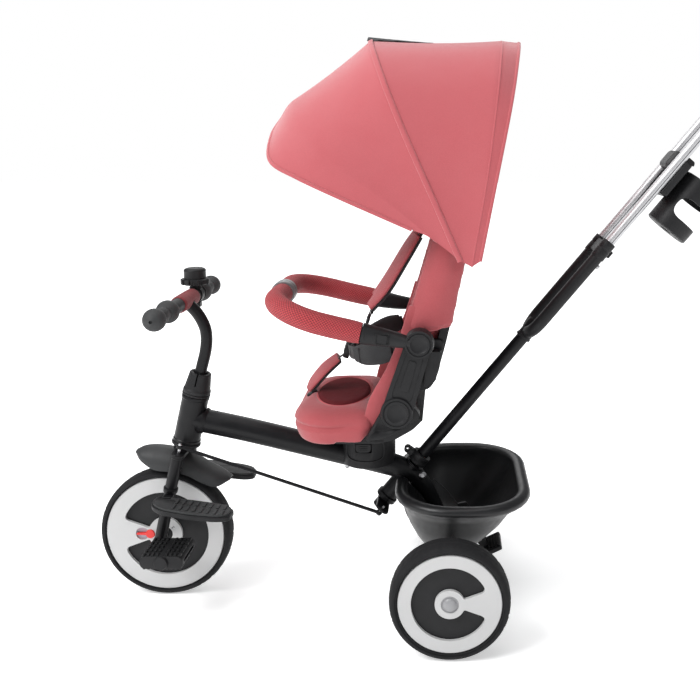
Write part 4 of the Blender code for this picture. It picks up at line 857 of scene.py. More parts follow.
def make_fender():
    stations = [
        (-0.051, 0.2885, 0.2855, 0.01), (-0.036, 0.2945, 0.274, 0.0265), (-0.01, 0.296, 0.259, 0.033),
        (0.022, 0.2905, 0.2555, 0.0345), (0.052, 0.279, 0.248, 0.0345), (0.08, 0.262, 0.233, 0.034),
        (0.105, 0.248, 0.225, 0.031), (0.127, 0.235, 0.231, 0.01)]
    wall = 0.0028
    fine = spline([Vector((x, top, skirt)) for x, top, skirt, _ in stations], 5)
    halves = smooth_sizes([half for *_, half in stations], 5)
    arch = [(-math.cos(a), math.sin(a) ** 0.75) for a in [math.pi * i / 28 for i in range(29)]]

    def build(bm):
        rings = []
        for (x, top, skirt), half in zip(fine, halves):
            crease = 0.0012 * max(0.0, 1 - abs(x - 0.035) / 0.008)
            outer = [at(x, u * half, skirt + v * (top - skirt - crease)) for u, v in arch]
            inner = [at(x, u * (half - wall), skirt + v * (top - skirt - wall - crease))
                     for u, v in reversed(arch)]
            rings.append(outer + inner)
        skin(bm, rings)

    fender = make("mudguard", build, 50)
    soften(fender, 0.0008, 2, 50)
    stay = disc("mudguard_stay", FRONT_AXLE, STEER_AXIS, 0.009, 0.16, 0.1685, 28)
    show(join(fender, stay), "grey", "grey_plastic", "fork", "front_fender")


def make_footrests():
    outline = [(0.004, 0.0), (0.0, 0.018), (0.006, 0.04), (0.028, 0.055), (0.075, 0.06), (0.125, 0.056),
               (0.148, 0.046), (0.15, 0.012), (0.132, 0.001), (0.075, -0.001), (0.03, 0.0)]
    tilt = math.radians(-7.5)
    along = Vector((math.cos(tilt), 0, math.sin(tilt)))
    up = Vector((-math.sin(tilt), 0, math.cos(tilt)))
    for name, side in SIDES:
        pivot = PIVOT[f"footrest_fold_{name}"]
        start = at(0.003, pivot.y - side * 0.0035, 0.226)

        def spot(x, y, height=0.0):
            return start + along * x + Y * (side * y) + up * height

        edge = rounded([spot(x, y) for x, y in outline], 0.01)
        tray = slab(f"footrest_tray_{name}", edge, -0.0125, -0.004, (0, 0, 1), 0.0018)
        inset = rounded([spot(0.075 + (x - 0.075) * 0.955, 0.029 + (y - 0.029) * 0.9) for x, y in outline], 0.01)
        mat = slab(f"footrest_mat_{name}", inset, -0.0042, 0.0, (0, 0, 1), 0.001)
        bars = [mat]
        for i in range(8):
            x = 0.044 + 0.0125 * i
            for low, high in ((0.0085, 0.027), (0.031, 0.05)):
                bars.append(slab(f"footrest_bar_{name}_{i}_{low}", rounded(
                    [spot(x, low), spot(x + 0.005, low), spot(x + 0.005, high), spot(x, high)], 0.0015, 4),
                    -0.0005, 0.0022, up, 0.0006, 2))
        mat = join(*bars)
        notch = pivot + Vector((0, -side * 0.004, 0))
        for piece in (tray, mat):
            cut(piece, block("rest_notch", notch, (0.0192, 0.024, 0.04), soft=0.001),
                disc("rest_bore", pivot, (1, 0, 0), 0.003, -0.0175, 0.0175, 20))
        show(tray, "plastic", "grey_plastic", f"footrest_{name}", f"footrest_{name}")
        show(mat, "grip", "grip_rubber", f"footrest_{name}")


# ---------------------------------------------------------------- wheels
def make_tyre(name, centre, radius, width, bead, lugs):
    """A foam tyre: chevron blocks on the tread, a raised ring and a groove on each sidewall."""
    half = width / 2
    side = [(bead, 0.8), (bead + 0.0012, 0.86), (bead + 0.003, 0.905), (bead + 0.0042, 0.9),
            (bead + 0.005, 0.935), (radius - 0.0105, 0.985), (radius - 0.0085, 1.0), (radius - 0.0062, 0.975),
            (radius - 0.004, 0.9), (radius - 0.0024, 0.8), (radius - 0.001, 0.66), (radius - 0.0003, 0.5),
            (radius, 0.32), (radius, 0.12)]
    profile = [(r, -half * y) for r, y in side] + [(radius, 0.0)] + [(r, half * y) for r, y in side[::-1]]

    def tread(angle, r, h):
        share = abs(h) / half
        if r < radius - 0.0075:
            return 0.0
        place = (angle / (2 * math.pi) * lugs + 0.35 * share + (0.5 if h > 0 else 0.0)) % 1.0
        groove = place < 0.22 and 0.22 < share < 0.7
        centre_line = share < 0.02 or 0.45 < share < 0.52
        return -0.0012 if groove else (-0.0006 if centre_line else 0.0)

    return turned(name, centre, Y, profile, lugs * 8, tread)


def recess_outline(centre, ring_r, hub_r, opening):
    """The C-shaped recess round the hub, with its corners rounded."""
    half_wedge = math.radians(20.5)
    span = 2 * math.pi - 2 * half_wedge
    start, corner = opening + half_wedge, 0.01

    def ring(radius, first, last, steps):
        return [centre + Vector((radius * math.cos(first + (last - first) * i / steps), 0,
                                 radius * math.sin(first + (last - first) * i / steps)))
                for i in range(steps + 1)]

    ends = []
    for radius, size in ((ring_r, corner), (hub_r, corner * 0.35)):
        trim = size / radius
        ends.append((radius, start + trim, start + span - trim, size))
    (outer_r, a0, a1, size), (inner_r, b0, b1, small) = ends

    def spoke(radius, angle):
        return centre + Vector((radius * math.cos(angle), 0, radius * math.sin(angle)))

    def bend(a, corner_point, b):
        return [a * (1 - t) ** 2 + corner_point * 2 * t * (1 - t) + b * t * t for t in (0.2, 0.4, 0.6, 0.8)]

    outer, inner = ring(outer_r, a0, a1, 60), ring(inner_r, b1, b0, 40)
    last, first = start + span, start
    outline = outer + bend(outer[-1], spoke(outer_r, last), spoke(outer_r - size, last))
    outline += [spoke(outer_r - size, last), spoke(inner_r + small, last)]
    outline += bend(spoke(inner_r + small, last), spoke(inner_r, last), inner[0])
    outline += inner + bend(inner[-1], spoke(inner_r, first), spoke(inner_r + small, first))
    outline += [spoke(inner_r + small, first), spoke(outer_r - size, first)]
    outline += bend(spoke(outer_r - size, first), spoke(outer_r, first), outer[0])
    return outline


def make_trim(name, centre, side, face, radius, ring_r, hub_r, opening, bore, holes=()):
    """The pale trim plate, with the C-shaped recess cut through it."""
    depth = 0.005
    trim = turned(name, centre, Y * side, [(bore, face - depth), (radius, face - depth), (radius, face + 0.0006),
                                           (radius - 0.0012, face + 0.0018), (bore, face + 0.0018)], 120)
    middle = centre + Y * (side * face)
    recess = slab("recess", recess_outline(middle, ring_r, hub_r, opening), -0.012, 0.012, Y)
    cut(trim, recess, *[h() for h in holes])
    return soften(trim, 0.0009, 3, 40)


def make_front_wheel():
    width, half = 0.041, 0.0163
    tyre = make_tyre("front_foam_tyre", FRONT_AXLE, FRONT_AXLE.z, width, 0.1135, 30)
    show(tyre, "tyre", "tyre_rubber", "front_wheel", "front_tyre")
    floor = half - 0.0042
    rim = turned("front_hub", FRONT_AXLE, Y, [
        (0.0066, -half - 0.0026), (0.0128, -half - 0.0026), (0.0136, -half - 0.0016), (0.0145, -floor),
        (0.1128, -floor), (0.1134, -floor - 0.003), (0.1134, floor + 0.003), (0.1128, floor), (0.0145, floor),
        (0.0136, half + 0.0016), (0.0128, half + 0.0026), (0.0066, half + 0.0026)], 96)
    show(rim, "plastic", "black_plastic", "front_wheel", "front_rim")
    lever = FRONT_AXLE + Vector((-0.0285, 0, 0))

    def pocket():
        return disc("pocket", FRONT_AXLE + Vector((-0.044, -half, 0)), Y, 0.0125, -0.01, 0.01, 40)

    def hub_pocket():
        return disc("hub_pocket", lever, Y, 0.0098, -0.01, 0.01, 40)

    for name, side in SIDES:
        holes = (pocket, hub_pocket) if side < 0 else ()
        trim = make_trim(f"front_trim_{name}", FRONT_AXLE, side, half, 0.1122, 0.0832, 0.0325, math.pi, 0.0142,
                         holes)
        show(trim, "pale", "light_disc", "front_wheel", f"front_disc_{name}")
    well = disc("lever_well", FRONT_AXLE + Vector((-0.044, 0, 0)), Y, 0.0124, -floor - 0.0012, -floor + 0.001, 40)
    show(well, "lilac", "light_disc", "front_wheel")
    bolts = [screw(f"hub_screw_{i}", FRONT_AXLE + Vector((x, -half - 0.0018, z)), -Y, 0.0034, 0.0018)
             for i, (x, z) in enumerate(((0.015, 0.0125), (0.015, -0.0125)))]
    bolts += [screw(f"hub_screw_left_{i}", FRONT_AXLE + Vector((x, half + 0.0018, z)), Y, 0.0034, 0.0018)
              for i, (x, z) in enumerate(((0.015, 0.0125), (0.015, -0.0125), (-0.017, 0.0)))]
    show(join(*bolts), "steel", "steel", "front_wheel")

    knob = turned("clutch_knob", lever, -Y, [
        (0, half - 0.003), (0.0086, half - 0.003), (0.0088, half + 0.0028), (0.0078, half + 0.0042),
        (0.0, half + 0.0048)], 40)
    finger = slab("clutch_finger", rounded([lever + Vector(p) for p in (
        (-0.0265, 0, -0.0014), (0.002, 0, -0.003), (0.002, 0, 0.003), (-0.0265, 0, 0.0014))],
        [0.002, 0.001, 0.001, 0.002]), -half - 0.0032, -half + 0.0025, Y, 0.0009)
    show(join(knob, finger), "red", "red_plastic", "clutch", "clutch_lever")


def make_crank():
    reach = PIVOT["pedal_spin_right"] - FRONT_AXLE
    reach.y = 0
    arm_y, end_y, bend = 0.0665, 0.1535, 0.006
    route = [FRONT_AXLE + Y * end_y - reach, FRONT_AXLE + Y * (arm_y + bend) - reach,
             FRONT_AXLE + Y * arm_y - reach * 0.84, FRONT_AXLE + Y * arm_y - reach * 0.16,
             FRONT_AXLE + Y * (arm_y - bend)]
    whole = route + [FRONT_AXLE + (FRONT_AXLE - p) for p in reversed(route)]
    smooth = rounded_route(whole, 0.007)
    crank = swept("crank_axle", smooth, 0.005, 24, start=(1, 0, 0.3))
    show(crank, "dark_steel_and_groove_shade", "steel", "crank", "crank")


def rounded_route(points, size):
    """An open route with each inner corner turned into a curve."""
    route = [points[0]]
    for before, corner, after in zip(points, points[1:], points[2:]):
        a = corner + (before - corner) * min(0.49, size / (before - corner).length)
        b = corner + (after - corner) * min(0.49, size / (after - corner).length)
        route += [a * (1 - t) ** 2 + corner * 2 * t * (1 - t) + b * t * t
                  for t in [k / 5 for k in range(6)]]
    return route + [points[-1]]


def make_pedals():
    for name, side in SIDES:
        centre = PIVOT[f"pedal_spin_{name}"]
        corners = [centre + Vector(p) for p in (
            (-0.0385, 0, -0.0055), (-0.032, 0, -0.0115), (0.032, 0, -0.0115), (0.0385, 0, -0.0055),
            (0.0385, 0, 0.0055), (0.032, 0, 0.0115), (-0.032, 0, 0.0115), (-0.0385, 0, 0.0055))]
        body = slab(f"pedal_block_{name}", rounded(corners, 0.006), -0.037, 0.037, Y)
        slot = block("pedal_slot", centre, (0.104, 0.056, 0.005), soft=0.001)
        cut(body, slot)
        soften(body, 0.0016, 3)
        treads = []
        for k in range(-4, 5):
            if k == 0:
                continue
            for row in range(-2, 3):
                for face in (1, -1):
                    treads.append(block(f"pedal_stud_{name}_{k}_{row}_{face}",
                                        centre + Vector((k * 0.008, row * 0.0145, face * 0.0118)),
                                        (0.005, 0.01, 0.0044), soft=0.001, segments=1))
        hub = disc(f"pedal_hub_{name}", centre, Y, 0.0095, -0.036, 0.036, 32, bore=0.0056)
        cap = turned(f"pedal_cap_{name}", centre, Y * side, [
            (0, 0.0395), (0.0105, 0.0395), (0.0105, 0.033), (0.0118, 0.0335), (0.0122, 0.04), (0.0112, 0.0415),
            (0, 0.042)][::-1], 40)
        show(join(body, *treads, hub, cap), "plastic", "black_plastic", f"pedal_{name}", f"pedal_{name}")


def make_rear_wheels():
    width = 0.047
    half = width / 2 - 0.0045
    for name, side in SIDES:
        centre, body = PIVOT[f"rear_wheel_spin_{name}"], f"rear_wheel_{name}"
        tyre = make_tyre(f"rear_foam_tyre_{name}", centre, centre.z, width, 0.0892, 26)
        show(tyre, "tyre", "tyre_rubber", body, f"rear_tyre_{name}")
        floor = half - 0.0042
        rim = turned(f"rear_hub_{name}", centre, Y * side, [
            (0.0057, -half - 0.003), (0.018, -half - 0.003), (0.0192, -half - 0.0015), (0.0205, half - 0.01),
            (0.074, half - 0.01), (0.079, -half), (0.0888, -half), (0.0888, half - 0.0012), (0.0882, floor),
            (0.0057, floor)], 96)
        spokes = []
        for i in range(6):
            a = math.pi * i / 3
            out = Vector((math.cos(a), 0, math.sin(a)))
            across = Vector((-out.z, 0, out.x))
            corners = [centre + out * 0.018 - across * 0.0025, centre + out * 0.078 - across * 0.0025,
                       centre + out * 0.078 + across * 0.0025, centre + out * 0.018 + across * 0.0025]
            spokes.append(slab(f"rear_spoke_{name}_{i}", corners, side * (-half + 0.004), side * (half - 0.009), Y,
                               0.0008, 2))
        show(join(rim, *spokes), "plastic", "black_plastic", body, f"rear_rim_{name}")
        trim = make_trim(f"rear_trim_{name}", centre, side, half, 0.088, 0.0655, 0.0255, 0.0, 0.015)
        show(trim, "pale", "light_disc", body, f"rear_disc_{name}")
        cap = turned(f"rear_hub_dome_{name}", centre, Y * side, [
            (0, half - 0.004), (0.0148, half - 0.004), (0.0148, half + 0.0012), (0.0138, half + 0.002),
            (0.0128, half + 0.0012), (0.0118, half + 0.0012), (0.011, half + 0.003), (0.009, half + 0.0048),
            (0.006, half + 0.006), (0, half + 0.0064)], 48)
        show(cap, "hub", "silver", body, f"hub_cap_{name}")


# ---------------------------------------------------------------- push rod and parent handle
def make_linkage():
    front = on_steer(0.1895, 0, -STEER_ARM)
    rear = on_handle(-0.137, 0, -STEER_ARM)
    run = (rear - front).normalized()
    rod = swept("push_rod", [front, front + run * 0.012, front + run * 0.06, rear - run * 0.06,
                             rear - run * 0.012, rear], 0.0032, 20)
    eyes = [turned("rod_eye_front", front, STEER_AXIS, [(0, -0.0034), (0.005, -0.0034), (0.0057, -0.0026),
                                                        (0.0057, 0.0028), (0.005, 0.0036), (0, 0.0036)], 32),
            turned("rod_eye_rear", rear, HANDLE_AXIS, [(0, -0.003), (0.0052, -0.003), (0.0058, -0.0022),
                                                       (0.0058, 0.0022), (0.0052, 0.003), (0, 0.003)], 32)]
    show(join(rod, *eyes), "metal", "black_metal", "rod", "steering_rod")
    pins = [disc("rod_pins", front, STEER_AXIS, 0.0027, -0.0225, 0.0036, 20),
            screw("rod_pin_head", front + STEER_AXIS * 0.0036, STEER_AXIS, 0.0042, 0.0024),
            disc("rod_pin_rear", rear, HANDLE_AXIS, 0.0024, 0.0, 0.0165, 20),
            screw("rod_pin_tail", rear - HANDLE_AXIS * 0.003, -HANDLE_AXIS, 0.004, 0.0024)]
    show(join(*pins), "steel", "steel", "rod")


def make_handle():
    """The steering shaft, the forked sleeve above it and the aluminium loop that slides in the sleeve."""
    shaft = turned("handle_shaft", HANDLE_FOOT, HANDLE_AXIS, [
        (0, -0.145), (0.0112, -0.145), (0.012, -0.1442), (0.012, 0.318), (0, 0.318)], 48)
    outline = [on_handle(0, 0.0135 * math.cos(a), (0 if math.sin(a) > 0 else -STEER_ARM) + 0.0105 * math.sin(a))
               for a in [math.radians(5 + 10 * i) for i in range(36)]]
    arm = slab("shaft_arm", outline, -0.13, -0.125, HANDLE_AXIS, 0.0012)
    show(join(shaft, arm), "metal", "black_metal", "handle", "push_tube")

    collar = turned("shaft_collar", HANDLE_FOOT, HANDLE_AXIS, [
        (TUBE_R + 0.0002, -0.029), (0.0176, -0.029), (0.0186, -0.028), (0.0186, -0.0225), (0.0178, -0.0212),
        (0.0178, -0.0164), (0.0186, -0.015), (0.0186, -0.01), (0.0178, -0.009), (TUBE_R + 0.0002, -0.009)], 48)
    ear = block("collar_ear", on_handle(-0.019, -0.021), (0.012, 0.016, 0.014), math.pi / 2 - HANDLE_TILT,
                0.0025, 4)
    eye = turned("collar_eye", on_handle(-0.019, -0.0285), Y, [
        (0.0035, -0.006), (0.0066, -0.006), (0.007, -0.005), (0.007, 0.005), (0.0066, 0.006),
        (0.0035, 0.006)], 28)
    show(join(collar, ear, eye), "plastic", "black_plastic", "handle", "handle_collar")

    low = arc(on_handle(0.3385), Y, -HANDLE_AXIS, HANDLE_HALF, 0, 180, 30)
    legs = [on_handle(0.495, 0, HANDLE_HALF), *low, on_handle(0.495, 0, -HANDLE_HALF)]
    fork_tube = swept("sleeve_tube", legs, 0.0116, 40, start=HANDLE_BELOW)
    nose = turned("sleeve_nose", HANDLE_FOOT, HANDLE_AXIS, [
        (TUBE_R + 0.0002, 0.2862), (0.0142, 0.2862), (0.0149, 0.287), (0.0149, 0.29), (0.0142, 0.2912),
        (0.0137, 0.2925), (0.0137, 0.31), (0.015, 0.315), (0.0138, 0.3262), (TUBE_R + 0.0002, 0.3262)], 48)
    pieces = [fork_tube, nose]
    for y in (HANDLE_HALF, -HANDLE_HALF):
        pieces.append(turned(f"sleeve_lip_{y > 0}", on_handle(0, 0, y), HANDLE_AXIS, [
            (LOOP_R + 0.0003, 0.486), (0.0126, 0.4886), (0.0131, 0.4896), (0.0131, 0.506), (0.0124, 0.5072),
            (0.0124, 0.509), (0.0131, 0.5102), (0.0131, 0.5232), (0.0124, 0.5242), (LOOP_R + 0.0003, 0.5242)], 44))
    web = block("sleeve_web", on_handle(0.507), (0.026, 0.066, 0.016), -HANDLE_TILT, 0.0025, 4)
    cut(web, block("lever_slot", on_handle(0.507, 0.007), (0.0155, 0.0285, 0.0135), -HANDLE_TILT, 0.0008))
    soften(web, 0.0008, 2, 40)
    show(join(*pieces, web), "plastic", "black_plastic", "handle", "handle_sleeve")
    stud = screw("sleeve_stud", on_handle(0.476, 0.0112, -HANDLE_HALF), HANDLE_BELOW, 0.0042, 0.0048)
    show(stud, "silver", "silver", "handle")
    lever = block("release_key", on_handle(0.507, 0.0145), (0.0145, 0.0275, 0.0185), -HANDLE_TILT, 0.0024, 4)
    ridges = [block(f"key_ridge_{i}", on_handle(0.502 + 0.005 * i, 0.0236), (0.0016, 0.02, 0.0016),
                    -HANDLE_TILT, 0.0005, 2) for i in range(3)]
    show(join(lever, *ridges), "plastic", "black_plastic", "height_lever", "height_lever")

    top = arc(on_handle(HANDLE_TOP), Y, HANDLE_AXIS, HANDLE_HALF, 0, 180, 36)
    loop = swept("aluminium_loop", [on_handle(0.43, 0, HANDLE_HALF), *top, on_handle(0.43, 0, -HANDLE_HALF)],
                 LOOP_R, 40, start=HANDLE_BELOW)
    show(loop, "silver", "silver", "loop", "handle_loop")
    # The grooves along the aluminium loop are thin dark strips on its sides: painted shade in the grooves.
    groove_shade_strips = [swept(f"loop_groove_shade_{y > 0}_{out}", [on_handle(s, 0.0016, y + out * (LOOP_R - 0.0031))
                                                  for s in (0.44, 0.825)], 0.003, 16)
             for y in (HANDLE_HALF, -HANDLE_HALF) for out in (1, -1)]
    show(join(*groove_shade_strips), "dark_steel_and_groove_shade", "silver", "loop")
    reach = 0.045
    grip_route = [on_handle(HANDLE_TOP - reach + 0.0006 * i, 0, HANDLE_HALF) for i in range(0, 75, 4)] + list(top)
    grip_route += [Vector((p.x, -p.y, p.z)) for p in grip_route[:19][::-1]]
    radii = [0.0155 - 0.0018 * max(0.0, 1 - min(i, len(grip_route) - 1 - i) / 2) ** 2
             for i in range(len(grip_route))]
    grip = swept("loop_grip", grip_route, radii, 40, bore=LOOP_R + 0.0002, start=HANDLE_BELOW)
    show(grip, "grip", "grip_rubber", "loop", "handle_grip")
    brace = block("loop_brace", on_handle(0.709, -0.0025), (0.036, 0.056, 0.024), -HANDLE_TILT, 0.0085, 6)
    cut(brace, *[disc("brace_gap", on_handle(0, 0, y), HANDLE_AXIS, LOOP_R + 0.0002, 0.6, 0.78, 40)
                 for y in (HANDLE_HALF, -HANDLE_HALF)])
    show(brace, "grey", "grey_plastic", "loop", "handle_bridge")
    make_cup_holder()


def make_cup_holder():
    centre, outer, wall = 0.0715, 0.0425, 0.003
    saddle = block("cup_clip", on_handle(0.684, 0.016), (0.074, 0.088, 0.015), -HANDLE_TILT, 0.005, 5)
    profile = [(0.012, 0.6075), (outer - 0.004, 0.6075), (outer - 0.0012, 0.6095), (outer - 0.0002, 0.7095),
               (outer - 0.0006, 0.7116), (outer - 0.0016, 0.7122), (outer - wall, 0.7116),
               (outer - wall - 0.0005, 0.6122), (outer - wall - 0.004, 0.6105), (0.012, 0.6105)]
    cup = turned("cup_ring", on_handle(0, centre), HANDLE_AXIS, profile, 72)
    inside = disc("cup_inside", on_handle(0, centre), HANDLE_AXIS, outer - wall - 0.0004, 0.6112, 0.8, 72)
    cut(saddle, inside)
    waist = rounded([on_handle(h, below) for below, h in (
        (0.125, 0.635), (0.056, 0.635), (0.0475, 0.645), (0.0475, 0.664), (0.056, 0.674),
        (0.125, 0.674))], [0.001, 0.012, 0.01, 0.01, 0.012, 0.001], 6)
    for piece in (saddle, cup):
        cut(piece, slab("cup_window", waist, -0.07, 0.07, Y))
    soften(cup, 0.0007, 2, 45)
    holes = [disc("saddle_bore", on_handle(0, 0, y), HANDLE_AXIS, LOOP_R + 0.0002, 0.6, 0.78, 40)
             for y in (HANDLE_HALF, -HANDLE_HALF)]
    cut(saddle, *holes)
    catch = slab("cup_catch", rounded([on_handle(0.7225, 0.031), on_handle(0.7225, 0.01), on_handle(0.73, 0.012),
                                       on_handle(0.73, 0.027)], 0.003), -0.022, 0.022, Y, 0.0012)
    show(join(saddle, cup, catch), "plastic", "black_plastic", "loop", "cup_holder")


# ---------------------------------------------------------------- seat and back mouldings
def ring_cap(name, centre, side, foot, height, radius):
    """A round cover with a raised rim, a groove and a dished middle."""
    profile = [(0, foot), (radius, foot), (radius + 0.0002, foot + height * 0.55), (radius - 0.0016, height + foot),
               (radius - 0.0042, foot + height), (radius - 0.0052, foot + height - 0.0016),
               (radius - 0.0062, foot + height - 0.0016), (radius - 0.007, foot + height - 0.0002),
               (radius * 0.6, foot + height - 0.0002), (radius * 0.53, foot + height - 0.0016),
               (radius * 0.3, foot + height - 0.0028), (0, foot + height - 0.003)]
    return turned(name, centre, Y * side, profile, 72)


def make_seat_mouldings():
    shell_outline = rounded([
        at(0.306, 0, 0.3445), at(0.3, 0, 0.353), at(0.42, 0, 0.3625), at(0.485, 0, 0.393),
        at(0.5, 0, 0.389), at(0.481, 0, 0.37), at(0.45, 0, 0.352), at(0.42, 0, 0.3445)], 0.004, 5)
    shell = slab("shell_base", shell_outline, -0.126, 0.126, Y)
    trim = []
    for sign in (1, -1):
        corner = [at(0.27, sign * 0.14, 0), at(0.27, sign * 0.06, 0), at(0.302, sign * 0.092, 0),
                  at(0.322, sign * 0.114, 0), at(0.352, sign * 0.1285, 0), at(0.352, sign * 0.14, 0)]
        trim.append(slab(f"corner_{sign}", corner, 0.33, 0.4, Z))
    cut(shell, *trim, disc("swivel_socket", at(0.392, 0, 0), Z, 0.0206, 0.33, 0.349, 40))
    soften(shell, 0.0016, 3, 45)
    cheek = [at(0.398, 0, 0.355), at(0.424, 0, 0.402), at(0.432, 0, 0.424), at(0.455, 0, 0.4355),
             at(0.478, 0, 0.424), at(0.492, 0, 0.407), at(0.4945, 0, 0.3985), at(0.475, 0, 0.3825),
             at(0.452, 0, 0.37), at(0.43, 0, 0.3605)]
    pieces = [shell]
    for name, side in SIDES:
        plate = slab(f"cheek_{name}", rounded(cheek, 0.008), side * 0.124, side * 0.1448, Y, 0.003, 4)
        line = [at(x, side * 0.145, z) for x, z in ((0.418, 0.375), (0.442, 0.3755), (0.468, 0.386))]
        cut(plate, swept(f"cheek_groove_{name}", spline(line, 5), 0.0011, 10))
        pieces.append(plate)
        for z in (0.3495, 0.3545):
            pieces.append(swept(f"shell_bead_{name}_{z}", [at(0.345, side * 0.1262, z), at(0.43, side * 0.1262, z)],
                                0.0007, 8))
    show(join(*pieces), "plastic", "black_plastic", "seat", "seat_shell")


def make_back_mouldings():
    lean = Vector((0.4947 - 0.455, 0, 0.5353 - 0.4095)).normalized()
    across = Vector((lean.z, 0, -lean.x))
    low, high = at(0.455, 0, 0.4095), BAR_HINGE
    for name, side in SIDES:
        outline = [*arc(low, across, -lean, 0.0265, 0, 180, 24), *arc(high, -across, lean, 0.0225, 0, 180, 24)]
        plate = slab(f"arm_plate_{name}", outline, side * 0.1464, side * 0.1545, Y)
        inner = [*arc(low + lean * 0.034, across, -lean, 0.0175, 0, 180, 12),
                 *arc(high - lean * 0.03, -across, lean, 0.015, 0, 180, 12)]
        cut(plate, slab("arm_recess", inner, side * 0.153, side * 0.16, Y))
        soften(plate, 0.0013, 3, 40)
        cap = ring_cap(f"recline_cap_{name}", low, side, 0.15, 0.008, 0.028)
        rib = slab(f"arm_rib_{name}", rounded([low + lean * 0.04 - across * 0.008, low + lean * 0.04 + across * 0.008,
                                               high - lean * 0.036 + across * 0.0065,
                                               high - lean * 0.036 - across * 0.0065], 0.004),
                   side * 0.1525, side * 0.1545, Y, 0.0006)
        show(join(plate, cap, rib), "plastic", "black_plastic", "back", f"side_arm_{name}")

    side_view = [at(0.498, 0, 0.436), at(0.518, 0, 0.5), at(0.54, 0, 0.59), at(0.56, 0, 0.67),
                 at(0.586, 0, 0.775), at(0.5945, 0, 0.773), at(0.57, 0, 0.67), at(0.548, 0, 0.575),
                 at(0.534, 0, 0.51), at(0.524, 0, 0.468), at(0.504, 0, 0.434)]
    shell = slab("rear_shell", rounded(side_view, 0.003, 4), -0.118, 0.118, Y)
    corners = []
    for side in (1, -1):
        for x, z, dz in ((0.59, 0.775, -0.034), (0.5, 0.434, 0.03)):
            past = z - math.copysign(0.03, dz)
            corner = [at(x - 0.06, side * y, height) for y, height in (
                (0.13, past), (0.086, past), (0.088, z + dz * 0.05), (0.106, z + dz * 0.45),
                (0.119, z + dz * 1.1), (0.13, z + dz * 1.1))]
            corners.append(slab("shell_corner", corner, 0, 0.14, X))
    cut(shell, *corners)
    soften(shell, 0.0016, 3, 45)
    pieces = [shell]
    for y in (-0.075, -0.0375, 0.0, 0.0375, 0.075):
        pieces.append(swept(f"shell_rib_{y}", spline([at(0.522, y, 0.462), at(0.5365, y, 0.515), at(0.5515, y, 0.58),
                                                      at(0.5718, y, 0.665), at(0.5945, y, 0.757)], 5), 0.0028, 12))
    for name, side in SIDES:
        pieces.append(slab(f"back_tab_{name}", rounded([at(0.5, 0, 0.452), at(0.508, 0, 0.516), at(0.532, 0, 0.516),
                                                        at(0.522, 0, 0.464)], 0.005), side * 0.11, side * 0.1459, Y,
                           0.0016))
        pieces.append(turned(f"canopy_knob_{name}", CANOPY_KNOB, Y * side, [
            (0, 0.11), (0.011, 0.11), (0.011, 0.164), (0.01, 0.1668), (0.007, 0.168), (0, 0.168)], 36))
        flank = [at(0.486, 0, 0.442), at(0.5, 0, 0.44), at(0.514, 0, 0.446), at(0.527, 0, 0.474),
                 at(0.537, 0, 0.532), at(0.5, 0, 0.532), at(0.486, 0, 0.465)]
        pieces.append(slab(f"back_flank_{name}", rounded(flank, 0.012), side * 0.112, side * 0.124, Y, 0.002))
    show(join(*pieces), "plastic", "black_plastic", "back", "back_shell")


# ---------------------------------------------------------------- soft goods
def inflate(obj, voxel, cap, frames, pressure):
    """Blows the shape up a little as cloth round its filling, no point moving more than the cap."""
    remesh = obj.modifiers.new("even", "REMESH")
    remesh.mode = "VOXEL"
    remesh.voxel_size = voxel
    freeze(obj)
    before = [v.co.copy() for v in obj.data.vertices]
    cloth = obj.modifiers.new("stuffing", "CLOTH")
    cloth.settings.use_pressure = True
    cloth.settings.uniform_pressure_force = pressure
    cloth.settings.effector_weights.gravity = 0
    cloth.settings.quality = 4
    cloth.settings.tension_stiffness = 20
    cloth.settings.compression_stiffness = 20
    cloth.settings.shear_stiffness = 8
    cloth.settings.bending_stiffness = 1.5
    cloth.point_cache.frame_start = 1
    cloth.point_cache.frame_end = frames
    for frame_number in range(1, frames + 1):
        scene.frame_set(frame_number)
    freeze(obj)
    for vertex, start in zip(obj.data.vertices, before):
        moved = vertex.co - start
        if moved.length > cap:
            vertex.co = start + moved * (cap / moved.length)
    scene.frame_set(1)
    smooth = obj.modifiers.new("smooth", "SMOOTH")
    smooth.factor = 0.5
    smooth.iterations = 3
    freeze(obj)
    obj.data.shade_smooth()
    fine = obj.modifiers.new("fine", "SUBSURF")
    fine.levels = fine.render_levels = 1
    freeze(obj)
    obj.data.shade_smooth()
    return obj


def push_in(obj, depth_at):
    """Moves each point in along its normal by the depth that the function gives for its place."""
    moves = [(vertex, vertex.normal.copy(), depth_at(vertex.co)) for vertex in obj.data.vertices]
    for vertex, normal, depth in moves:
        vertex.co -= normal * depth
    obj.data.update()
    return obj


def groove(distance, width):
    """1 in the middle of a groove, falling smoothly to 0 at its edge."""
    share = min(1.0, abs(distance) / width)
    return (1 - share * share) ** 2


